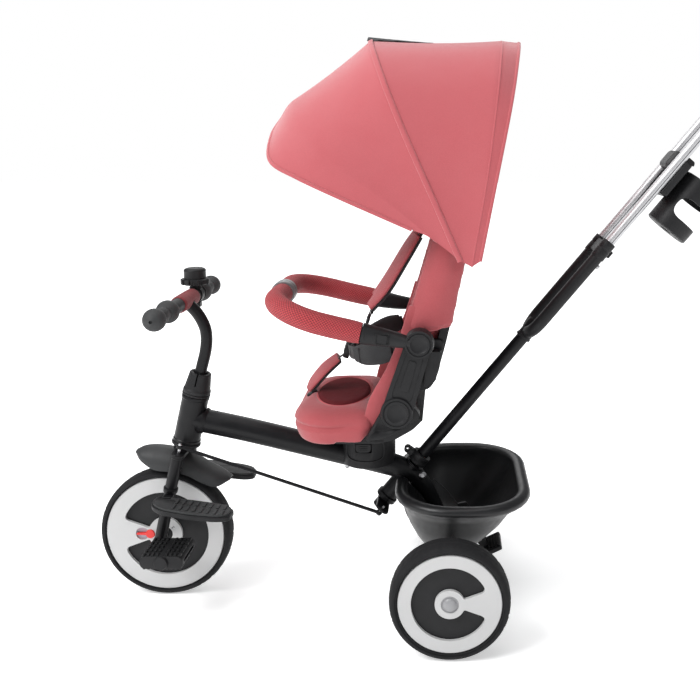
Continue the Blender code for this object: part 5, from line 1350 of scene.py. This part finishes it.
def make_seat_cushion():
    rows = [(0.339, 0.34, 0.062, 0.127, 0.058), (0.345, 0.34, 0.068, 0.131, 0.062),
            (0.361, 0.34, 0.0735, 0.1335, 0.066), (0.374, 0.34, 0.077, 0.135, 0.068),
            (0.387, 0.3405, 0.074, 0.132, 0.066), (0.396, 0.3425, 0.067, 0.123, 0.06),
            (0.4005, 0.3435, 0.057, 0.112, 0.052)]

    def outline(hx, hy, front_corner):
        """Wide corners in front and tight ones behind."""
        front = [p for p in rounded_rectangle(hx, hy, front_corner, 6) if p.x < 0]
        rear = [p for p in rounded_rectangle(hx, hy, 0.024, 6) if p.x > 0]
        return [p for p in rear if p.y > 0] + front + [p for p in rear if p.y < 0]

    def build(bm):
        skin(bm, [[at(cx, 0, z) + p for p in outline(hx, hy, c)] for z, cx, hx, hy, c in rows])

    cushion = make("cushion_cover", build)
    guard = slab("cushion_base", [at(0.3, 0, 0.3538), at(0.42, 0, 0.3633), at(0.485, 0, 0.3938),
                                  at(0.485, 0, 0.33), at(0.302, 0, 0.33)], -0.1262, 0.1262, Y)
    cut(guard, *[slab(f"base_corner_{side}", [
        at(0.27, side * 0.14, 0), at(0.27, side * 0.06, 0), at(0.303, side * 0.0935, 0),
        at(0.323, side * 0.115, 0), at(0.353, side * 0.1285, 0), at(0.353, side * 0.14, 0)], 0.32, 0.4, Z)
        for _, side in SIDES])
    cut(cushion, guard)
    inflate(cushion, 0.0052, 0.0045, 16, 3.0)
    middle = at(0.3475, 0, 0.4)

    def depth(p):
        level = 0.374 + 0.008 * max(0.0, (p.x - at(0.34, 0, 0).x)) / 0.08
        front = max(0.0, min(1.0, (at(0.405, 0, 0).x - p.x) / 0.05))
        roll = 0.0048 * groove(p.z - level, 0.007) * front
        top = 0.0
        if p.z > 0.385:
            oval = math.hypot((p.x - middle.x) / 0.05, p.y / 0.09)
            dish = 0.003 * max(0.0, 1 - oval * oval)
            top = 0.003 * groove((oval - 1.0) * 0.06, 0.0055) + dish
        return roll + top

    push_in(cushion, depth)
    show(cushion, "shaded_coral_pad", "coral_fabric", "seat", "seat_cushion")

    lift = [(math.cos(a), math.sin(a)) for a in [2 * math.pi * i / 72 for i in range(72)]]
    surface_mesh = cushion.data
    tree = BVHTree.FromPolygons([v.co for v in surface_mesh.vertices], [p.vertices[:] for p in surface_mesh.polygons])

    def top_of(x, y, up):
        hit = tree.ray_cast(Vector((x, y, 0.45)), Vector((0, 0, -1)))[0]
        return Vector((x, y, (hit.z if hit else 0.395) + up))

    def oval(share, up):
        return [top_of(middle.x + 0.048 * share * c, 0.088 * share * s, up) for c, s in lift]

    def panel(bm):
        shares = [1.0, 0.97, 0.9, 0.8, 0.7, 0.6, 0.5, 0.4, 0.3, 0.2, 0.1]
        rings = [oval(s, 0.0006 + 0.0022 * min(1.0, (1 - s) / 0.1) ** 0.6) for s in shares]
        skin(bm, [oval(1.0, -0.0012)] + rings)

    mesh = make("seat_mesh_panel", panel, 70)
    show(mesh, "mesh", "coral_fabric", "seat")
    piping = oval(1.035, 0.0004)
    show(swept("seat_piping", piping + piping[:2], 0.0013, 10), "thread", "coral_fabric", "seat")


def make_side_liners():
    """The liner's wings, which close the gap between the seat and the back."""
    for name, side in SIDES:
        front = spline([at(0.392, side * 0.12, 0.372), at(0.405, side * 0.125, 0.425), at(0.435, side * 0.129, 0.48),
                        at(0.458, side * 0.131, 0.535), at(0.476, side * 0.127, 0.592)], 6)
        rear = spline([at(0.432, side * 0.12, 0.368), at(0.462, side * 0.13, 0.438), at(0.488, side * 0.134, 0.49),
                       at(0.506, side * 0.134, 0.535), at(0.512, side * 0.13, 0.592)], 6)
        half_thick = 0.0042

        def build(bm):
            rings = []
            for a, b in zip(front, rear):
                ring = []
                for i in range(28):
                    t = 2 * math.pi * i / 28
                    place = (a + b) / 2 + (b - a) / 2 * math.cos(t)
                    bulge = half_thick * math.copysign(abs(math.sin(t)) ** 0.8, math.sin(t))
                    ring.append(place + Y * (side * bulge))
                rings.append(ring)
            skin(bm, rings)

        wing = make(f"side_liner_{name}", build, 60)
        dress(wing, "shaded_coral_pad", "coral_fabric")
        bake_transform(wing)


def make_backrest():
    levels = [(0.464, 0.465, 0.4995, 0.105), (0.46, 0.508, 0.51, 0.126), (0.468, 0.548, 0.545, 0.142),
              (0.49, 0.62, 0.556, 0.1435), (0.516, 0.708, 0.575, 0.1435), (0.533, 0.765, 0.58, 0.135),
              (0.548, 0.788, 0.579, 0.108)]
    fine = spline([Vector(level[:3]) for level in levels], 4)
    halves = smooth_sizes([level[3] for level in levels], 4)

    def build(bm):
        rings = []
        for (front, z, rear), half in zip(fine, halves):
            deep = rear - front
            outline = [(0.0, half - 0.016), (-0.002, half * 0.84), (deep * 0.3, half * 0.62), (deep * 0.34, 0)]
            left = [(dx, -y) for dx, y in outline]
            face = [(deep, half - 0.012), (deep * 0.6, half), (deep * 0.18, half - 0.003), *outline[:3],
                    outline[3], *left[2::-1], (deep * 0.18, -half + 0.003), (deep * 0.6, -half),
                    (deep, -half + 0.012)]
            rings.append([at(front + dx, y, z - dx * 0.24) for dx, y in face])
        skin(bm, rings)

    liner = make("backrest_cover", build)
    back_line = [at(0.4974, 0, 0.436), at(0.5174, 0, 0.5), at(0.5394, 0, 0.59), at(0.5594, 0, 0.67),
                 at(0.5854, 0, 0.775)]
    guard = slab("cover_back", [back_line[0] + Vector((-0.002, 0, -0.02)), *back_line, at(0.6, 0, 0.8),
                                at(0.62, 0, 0.42)], -0.1186, 0.1186, Y)
    tools = [guard]
    for _, side in SIDES:
        tools.append(disc("boss_hole", CANOPY_KNOB, Y * side, 0.013, 0.1, 0.17, 28))
        tools.append(slab("flank_gap", [at(x, 0, z) for x, z in (
            (0.474, 0.43), (0.474, 0.54), (0.484, 0.547), (0.54, 0.552), (0.575, 0.552), (0.575, 0.43))],
            side * 0.109, side * 0.16, Y))
        tools.append(slab("tab_gap", [at(0.495, 0, 0.44), at(0.504, 0, 0.518), at(0.545, 0, 0.518),
                                      at(0.53, 0, 0.45)], side * 0.108, side * 0.15, Y))
    cut(liner, *tools)
    inflate(liner, 0.0058, 0.004, 16, 3.0)

    def depth(p):
        x = p.x - FRONT_AXLE.x
        lean = 0.464 + (p.z - 0.465) * 0.26
        deep = x - lean
        edge = abs(p.y) - 0.122
        seam = 0.0024 * groove(edge, 0.0045) if deep < 0.035 else 0.0
        middle = abs(p.y) < 0.088
        tufts = 0.0
        if middle and deep < 0.07:
            tufts = sum(0.0026 * groove(p.z - row, 0.006) for row in (0.56, 0.63, 0.7))
            tufts += 0.0022 * groove(abs(p.y) - 0.084, 0.005)
        hem = 0.0018 * groove(p.z - (0.55 + (x - 0.47) * 0.1), 0.0035) if deep > 0.012 else 0.0
        return max(seam, tufts, hem)

    push_in(liner, depth)
    show(liner, "shaded_coral_pad", "coral_fabric", "back", "backrest_cushion")


def layered_strap(name, route, widths, thickness, body, start, stands_for):
    """A padded strap with a coral face above and a dark backing below."""
    fine = spline(route, 6)
    sizes = smooth_sizes(widths, 6)
    tangents = [(b - a).normalized() for a, b in zip(fine, fine[1:])]
    tangents.append(tangents[-1])
    face = Vector(start)
    lifts = [(face - t * face.dot(t)).normalized() for t in tangents]
    top = swept(name, [p + n * thickness * 0.22 for p, n in zip(fine, lifts)], sizes, 28,
                flat=[thickness * 0.34 / s for s in sizes], start=start, power=0.75)
    low = swept(f"{name}_backing", [p - n * thickness * 0.26 for p, n in zip(fine, lifts)],
                [s * 0.97 for s in sizes], 28, flat=[thickness * 0.26 / s for s in sizes], start=start, power=0.6)
    show(top, "shaded_coral_pad", "coral_fabric", body, stands_for)
    show(low, "dark_cloth", "webbing", body)


def make_harness():
    for name, side in SIDES:
        route = [at(0.49, side * 0.055, 0.705), at(0.466, side * 0.056, 0.668), at(0.432, side * 0.056, 0.612),
                 at(0.404, side * 0.054, 0.575)]
        layered_strap(f"chest_pad_{name}", route, [0.014, 0.0205, 0.021, 0.013], 0.0125, "back",
                      (-0.85, -0.38, 0.5), f"shoulder_pad_{name}")
        upper = [at(0.484, side * 0.055, 0.696), at(0.503, side * 0.053, 0.725),
                 at(0.529, side * 0.05, 0.745), at(0.55, side * 0.05, 0.743)]
        up = ribbon(f"chest_web_upper_{name}", spline(upper, 6), 0.018, WEB_THICK)
        show(up, "webbing", "webbing", "back")
        lower = [at(0.409, side * 0.054, 0.582), at(0.401, side * 0.052, 0.564),
                 at(0.396, side * 0.047, 0.543), at(0.382, side * 0.033, 0.518),
                 at(0.366, side * 0.014, 0.502)]
        down = ribbon(f"chest_web_lower_{name}", spline(lower, 6), 0.02, WEB_THICK)
        show(down, "webbing", "webbing", "back")
        glide = block(f"web_glide_{name}", at(0.3985, side * 0.05, 0.552), (0.0055, 0.03, 0.017),
                      math.radians(14), 0.0018)
        show(glide, "plastic", "black_plastic", "back")
    belt_route = [at(0.452, 0.119, 0.512), at(0.41, 0.098, 0.5), at(0.372, 0.05, 0.489), at(0.357, 0, 0.485),
                  at(0.372, -0.05, 0.489), at(0.41, -0.098, 0.5), at(0.452, -0.119, 0.512)]
    belt = swept("lap_web", spline(belt_route, 8), 0.0125, 20, flat=0.07, start=(-0.45, 0.9, 0), power=0.55)
    show(belt, "webbing", "webbing", "back", "waist_belt")
    for name, side in SIDES:
        pad_route = [at(0.446, side * 0.118, 0.511), at(0.428, side * 0.109, 0.506), at(0.41, side * 0.098, 0.5),
                     at(0.392, side * 0.079, 0.494), at(0.376, side * 0.06, 0.49)]
        widths = smooth_sizes([0.016, 0.0205, 0.0205, 0.019, 0.014], 6)
        pad = swept(f"hip_pad_{name}", spline(pad_route, 6), widths, 24, flat=0.32,
                    start=(-0.62, side * 0.78, 0), power=0.8)
        show(pad, "dark_cloth", "webbing", "back")
        tri = block(f"belt_adjuster_{name}", at(0.3865, side * 0.069, 0.492), (0.007, 0.024, 0.027),
                    math.radians(-8), 0.0016)
        show(tri, "plastic", "black_plastic", "back")
    buckle, facing = at(0.356, 0, 0.487), Vector((-0.94, 0, 0.3))
    shell = turned("buckle_body", buckle, facing, [
        (0, -0.0055), (0.019, -0.0055), (0.0205, -0.004), (0.0205, 0.003), (0.019, 0.0052), (0.012, 0.0062),
        (0.0112, 0.005), (0.0, 0.005)], 56)
    press = turned("buckle_press", buckle, facing, [
        (0, 0.004), (0.01, 0.004), (0.0104, 0.0062), (0.0094, 0.0072), (0, 0.0076)], 40)
    prongs = [block(f"buckle_prong_{name}", at(0.366, side * 0.0265, 0.4895), (0.006, 0.02, 0.018),
                    math.radians(-6), 0.0015) for name, side in SIDES]
    show(join(shell, press, *prongs), "plastic", "black_plastic", "back")

    crotch = [at(0.2815, 0, 0.4055), at(0.29, 0, 0.42), at(0.312, 0, 0.446), at(0.338, 0, 0.468)]
    layered_strap("crotch_pad", crotch, [0.011, 0.018, 0.0195, 0.015], 0.011, "seat", (-0.8, -0.4, 0.6),
                  "crotch_strap")
    anchor = turned("crotch_anchor", at(0.286, 0, 0.3985), Vector((-0.5, 0, 1)), [
        (0, -0.002), (0.0105, -0.002), (0.0112, 0.001), (0.0098, 0.003), (0.0, 0.0034)], 32)
    show(anchor, "plastic", "black_plastic", "seat")
    web = ribbon("crotch_web", spline([at(0.318, 0, 0.4515), at(0.338, 0, 0.468), at(0.348, 0, 0.475),
                                       at(0.3545, 0, 0.48)], 6), 0.021, WEB_THICK)
    dress(web, "webbing", "webbing")
    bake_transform(web)


def make_bumper():
    rise = spline([Vector(p) for p in ((0.4947, 0, 0.5353), (0.44, 0, 0.543), (0.39, 0, 0.553),
                                       (0.325, 0, 0.568), (0.2385, 0, 0.593))], 10)

    def height(x):
        if x >= rise[0].x:
            return rise[0].z
        for a, b in zip(rise, rise[1:]):
            if b.x <= x <= a.x:
                return a.z + (b.z - a.z) * (x - a.x) / (b.x - a.x)
        return rise[-1].z

    half, bend, front_x = 0.16, 0.09, 0.2385
    plan = [(0.4827, half + 0.0105), (0.465, half + 0.006), (0.445, half + 0.0008), (0.41, half),
            (front_x + bend + 0.055, half), (front_x + bend + 0.025, half - 0.0005)]
    for i in range(0, 17):
        a = math.radians(90 * i / 16)
        plan.append((front_x + bend * (1 - math.sin(a)), half - 0.001 - bend * (1 - math.cos(a))))
    plan += [(front_x, y) for y in (0.06, 0.045, 0.03, 0.015)]
    left = [at(x, y, height(x)) for x, y in plan]
    route = spline(left + [at(front_x, 0, height(front_x))] + [Vector((p.x, -p.y, p.z)) for p in left[::-1]], 2)
    tube = swept("lap_bar_tube", route, 0.011, 28, start=(0, 0, 1))
    pieces = [tube]
    for name, side in SIDES:
        pieces.append(ring_cap(f"bar_cap_{name}", BAR_HINGE, side, 0.1552, 0.0243, 0.025))
        arm_route = spline([at(x, side * y, height(x)) for x, y in (
            (0.476, half + 0.0098), (0.46, half + 0.0045), (0.44, half + 0.0008), (0.418, half),
            (0.398, half))], 4)
        sizes = smooth_sizes([0.01, 0.0125, 0.0145, 0.0164, 0.0178], 4)
        pieces.append(swept(f"bar_arm_{name}", arm_route, sizes, 32, start=(0, 0, 1), power=0.85))
        key = block(f"bar_key_{name}", at(0.433, side * (half + 0.015), height(0.433)), (0.0175, 0.003, 0.015),
                    math.radians(10), 0.0012)
        rim = swept(f"bar_key_rim_{name}", [at(0.433 + dx, side * (half + 0.0157), height(0.433) + dz)
                                            for dx, dz in ((-0.0105, -0.009), (0.0105, -0.009), (0.0105, 0.009),
                                                           (-0.0105, 0.009), (-0.0105, -0.009), (0.0, -0.009))],
                    0.0008, 8)
        collar = disc(f"bar_collar_{name}", at(0.4005, side * half, height(0.4005)), (1, 0, -0.2), 0.0182,
                      -0.0015, 0.0035, 40, soft=0.001)
        pieces += [key, rim, collar]
    show(join(*pieces), "plastic", "black_plastic", "bar", "bumper_bar")

    reach = [p for p in route if p.x <= at(0.3975, 0, 0).x]
    sizes = []
    for i in range(len(reach)):
        end = min(i, len(reach) - 1 - i)
        waist = 0.0014 * groove(abs(reach[i].y) - 0.019, 0.006)
        sizes.append(0.0193 - 0.0014 * max(0.0, 1 - end / 2) ** 2 - waist)
    foam = swept("lap_bar_foam", reach, sizes, 48, bore=0.0112, start=(0, 0, 1))
    show(foam, "foam", "red_foam", "bar", "bumper_foam")
    clasp = turned("lap_bar_clasp", at(front_x, 0, height(front_x)), Y, [
        (0.0188, -0.017), (0.021, -0.017), (0.0219, -0.0157), (0.0221, -0.004), (0.0214, -0.003),
        (0.0214, 0.003), (0.0221, 0.004), (0.0219, 0.0157), (0.021, 0.017), (0.0188, 0.017)], 56)
    show(clasp, "clasp", "silver", "bar", "bumper_clasp")


# ---------------------------------------------------------------- canopy
CANOPY_LINES = {
    "rear": [(0.596, 0.18, 0.676), (0.618, 0.18, 0.79), (0.6385, 0.175, 0.895), (0.65, 0.155, 0.955),
             (0.66, 0.11, 1.013), (0.665, 0.055, 1.036), (0.6665, 0.0, 1.04)],
    "band": [(0.582, 0.181, 0.667), (0.605, 0.182, 0.8), (0.618, 0.178, 0.9), (0.626, 0.16, 0.97),
             (0.632, 0.115, 1.021), (0.635, 0.06, 1.039), (0.635, 0.0, 1.044)],
    "middle": [(0.563, 0.181, 0.676), (0.52, 0.182, 0.775), (0.478, 0.18, 0.87), (0.445, 0.168, 0.95),
               (0.423, 0.13, 1.007), (0.411, 0.07, 1.037), (0.409, 0.0, 1.045)],
    "front": [(0.51, 0.179, 0.718), (0.448, 0.181, 0.762), (0.38, 0.179, 0.808), (0.32, 0.166, 0.85),
              (0.283, 0.128, 0.899), (0.267, 0.07, 0.93), (0.264, 0.0, 0.9375)],
    "hem": [(0.484, 0.178, 0.728), (0.43, 0.18, 0.752), (0.36, 0.178, 0.783), (0.298, 0.167, 0.811),
            (0.249, 0.143, 0.838), (0.2405, 0.085, 0.88), (0.244, 0.0, 0.913)],
}
CANOPY_STEPS = 96


def canopy_line(name):
    """Evenly spaced points over the canopy along one of its bows or hems, from the right side to the left."""
    half = spline([Vector(point) for point in CANOPY_LINES[name]], 12)
    whole = [at(p.x, -p.y, p.z) for p in half] + [at(p.x, p.y, p.z) for p in half[:-1][::-1]]
    lengths = [0.0]
    for a, b in zip(whole, whole[1:]):
        lengths.append(lengths[-1] + (b - a).length)
    even, k = [], 0
    for i in range(CANOPY_STEPS + 1):
        goal = lengths[-1] * i / CANOPY_STEPS
        while k < len(lengths) - 2 and lengths[k + 1] < goal:
            k += 1
        even.append(whole[k].lerp(whole[k + 1], (goal - lengths[k]) / (lengths[k + 1] - lengths[k])))
    return even


def sagging(first, second, steps, sag):
    """Rows of points between two lines, falling in from the straight line by the sag at mid-span."""
    rows = []
    for k in range(steps + 1):
        t = k / steps
        row = []
        for a, b in zip(first, second):
            span = (b - a).length
            inward = Vector((0, -(a.y + b.y) / 2, CANOPY_MIDDLE_Z - (a.z + b.z) / 2)).normalized()
            row.append(a.lerp(b, t) + inward * (sag * min(1.0, span / 0.1) * 4 * t * (1 - t)))
        rows.append(row)
    return rows


def bent(first, second, third):
    """Rows from the first line over the second, where the cloth turns in a soft curve, to the third."""
    bend = 0.012
    before = [b.lerp(a, min(0.45, bend / max(1e-6, (a - b).length))) for a, b in zip(first, second)]
    after = [b.lerp(c, min(0.6, bend / max(1e-6, (c - b).length))) for b, c in zip(second, third)]
    rows = sagging(first, before, 16, 0.0036)
    for t in (k / 8 for k in range(1, 9)):
        rows.append([a * (1 - t) ** 2 + b * 2 * t * (1 - t) + c * t * t
                     for a, b, c in zip(before, second, after)])
    return rows + sagging(after, third, 3, 0.0)[1:]


def cloth_grid(name, rows):
    """A thin cloth over the rows of points, faced outward and thickened."""
    def build(bm):
        grid = [[bm.verts.new(p) for p in row] for row in rows]
        for low, high in zip(grid, grid[1:]):
            for a, b, c, d in zip(low, low[1:], high[1:], high):
                if (a.co - d.co).length < 1e-6 and (b.co - c.co).length < 1e-6:
                    continue
                bm.faces.new((a, b, c, d))
        bmesh.ops.remove_doubles(bm, verts=bm.verts, dist=1e-6)

    mesh = bpy.data.meshes.new(name)
    bm = bmesh.new()
    build(bm)
    bm.normal_update()
    outward = sum(f.normal.dot(f.calc_center_median() - Vector((f.calc_center_median().x, 0, CANOPY_MIDDLE_Z)))
                  for f in bm.faces)
    if outward < 0:
        bmesh.ops.reverse_faces(bm, faces=bm.faces)
    bm.to_mesh(mesh)
    bm.free()
    mesh.shade_smooth()
    obj = bpy.data.objects.new(name, mesh)
    scene.collection.objects.link(obj)
    solid = obj.modifiers.new("thickness", "SOLIDIFY")
    solid.thickness = CLOTH_THICK
    solid.offset = -1
    freeze(obj)
    obj.data.shade_smooth()
    obj.data.set_sharp_from_angle(angle=math.radians(60))
    return obj


def bow_ridge(name, line, width, height, inward_of=0.0):
    """A raised, flattened tube of cloth along a line of the canopy."""
    route = [p + Vector((0, -p.y, CANOPY_MIDDLE_Z - p.z)).normalized() * inward_of for p in line]
    return swept(name, route, width, 16, flat=height / width, start=Vector((0, -1, 0)), power=0.8)


def make_canopy():
    rear, band, middle = canopy_line("rear"), canopy_line("band"), canopy_line("middle")
    front, hem = canopy_line("front"), canopy_line("hem")
    foot, crown, reach = at(0.563, 0, 0.676), at(0.409, 0, 1.045), 0.19
    ahead = (crown - foot).normalized().cross(Y)
    if ahead.x > 0:
        ahead = -ahead

    rear_rows = sagging(rear, band, 3, 0.0008) + sagging(band, middle, 16, 0.004)[1:]
    rear_cloth = cloth_grid("canopy_rear_cloth", rear_rows)
    dress(rear_cloth, "coral", "coral_fabric", "canopy_rear_panel")
    curtain_rows = [[Vector((p.x - 0.001, p.y * 0.995, p.z)).lerp(at(0.596, p.y, 0.684), k / 10) for p in rear]
                    for k in range(11)]
    curtain = cloth_grid("canopy_back_cloth", curtain_rows)
    show(curtain, "coral", "coral_fabric", "back")
    seam = bow_ridge("canopy_band_seam", band, 0.0016, 0.0006, 0.0002)
    ridge = bow_ridge("canopy_middle_bow", middle, 0.0045, 0.002, -0.0002)
    front_rows = bent(middle, front, hem)
    front_cloth = cloth_grid("canopy_front_cloth", front_rows)
    dress(front_cloth, "coral", "coral_fabric", "canopy_front_panel", "canopy_visor")
    binding = bow_ridge("canopy_hem_binding", hem, 0.003, 0.0018, -0.0001)
    edge = bow_ridge("canopy_rear_binding", rear, 0.0026, 0.0016, 0.0)
    for piece in (seam, ridge, edge, binding):
        dress(piece, "coral", "coral_fabric")
    for piece in (rear_cloth, seam, ridge, edge):
        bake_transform(piece)
    for piece in (front_cloth, binding):
        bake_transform(piece)

    start, length = 0.405, 0.112
    rows = []
    for x in [start + length * i / 16 for i in range(17)]:
        share = (x - start) / length
        half = 0.064 * (1 - 0.6 * share)
        lift = 0.0095 * (1 - share) ** 1.1
        row = []
        for j in range(33):
            y = half * (j / 16 - 1)
            near = min((k for k in range(len(middle)) if middle[k].z > 0.99), key=lambda k: abs(middle[k].y - y))
            top = middle[near].z + (band[near].z - middle[near].z) * max(0.0, (x - 0.409) / 0.226)
            row.append(at(x, y, top + lift * (1 - 0.5 * (abs(y) / half) ** 4) - 0.003))
        rows.append(row)
    flap = cloth_grid("canopy_top_flap", rows)
    dress(flap, "dark_cloth", "webbing")
    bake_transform(flap)


for build_part in (
        make_stage, make_frame, make_basket, make_swivel_base, make_brake, make_fork, make_handlebar,
        make_fender, make_footrests, make_front_wheel, make_crank, make_pedals, make_rear_wheels,
        make_linkage, make_handle, make_seat_mouldings, make_back_mouldings, make_seat_cushion,
        make_side_liners, make_backrest, make_harness, make_bumper, make_canopy,
):
    build_part()
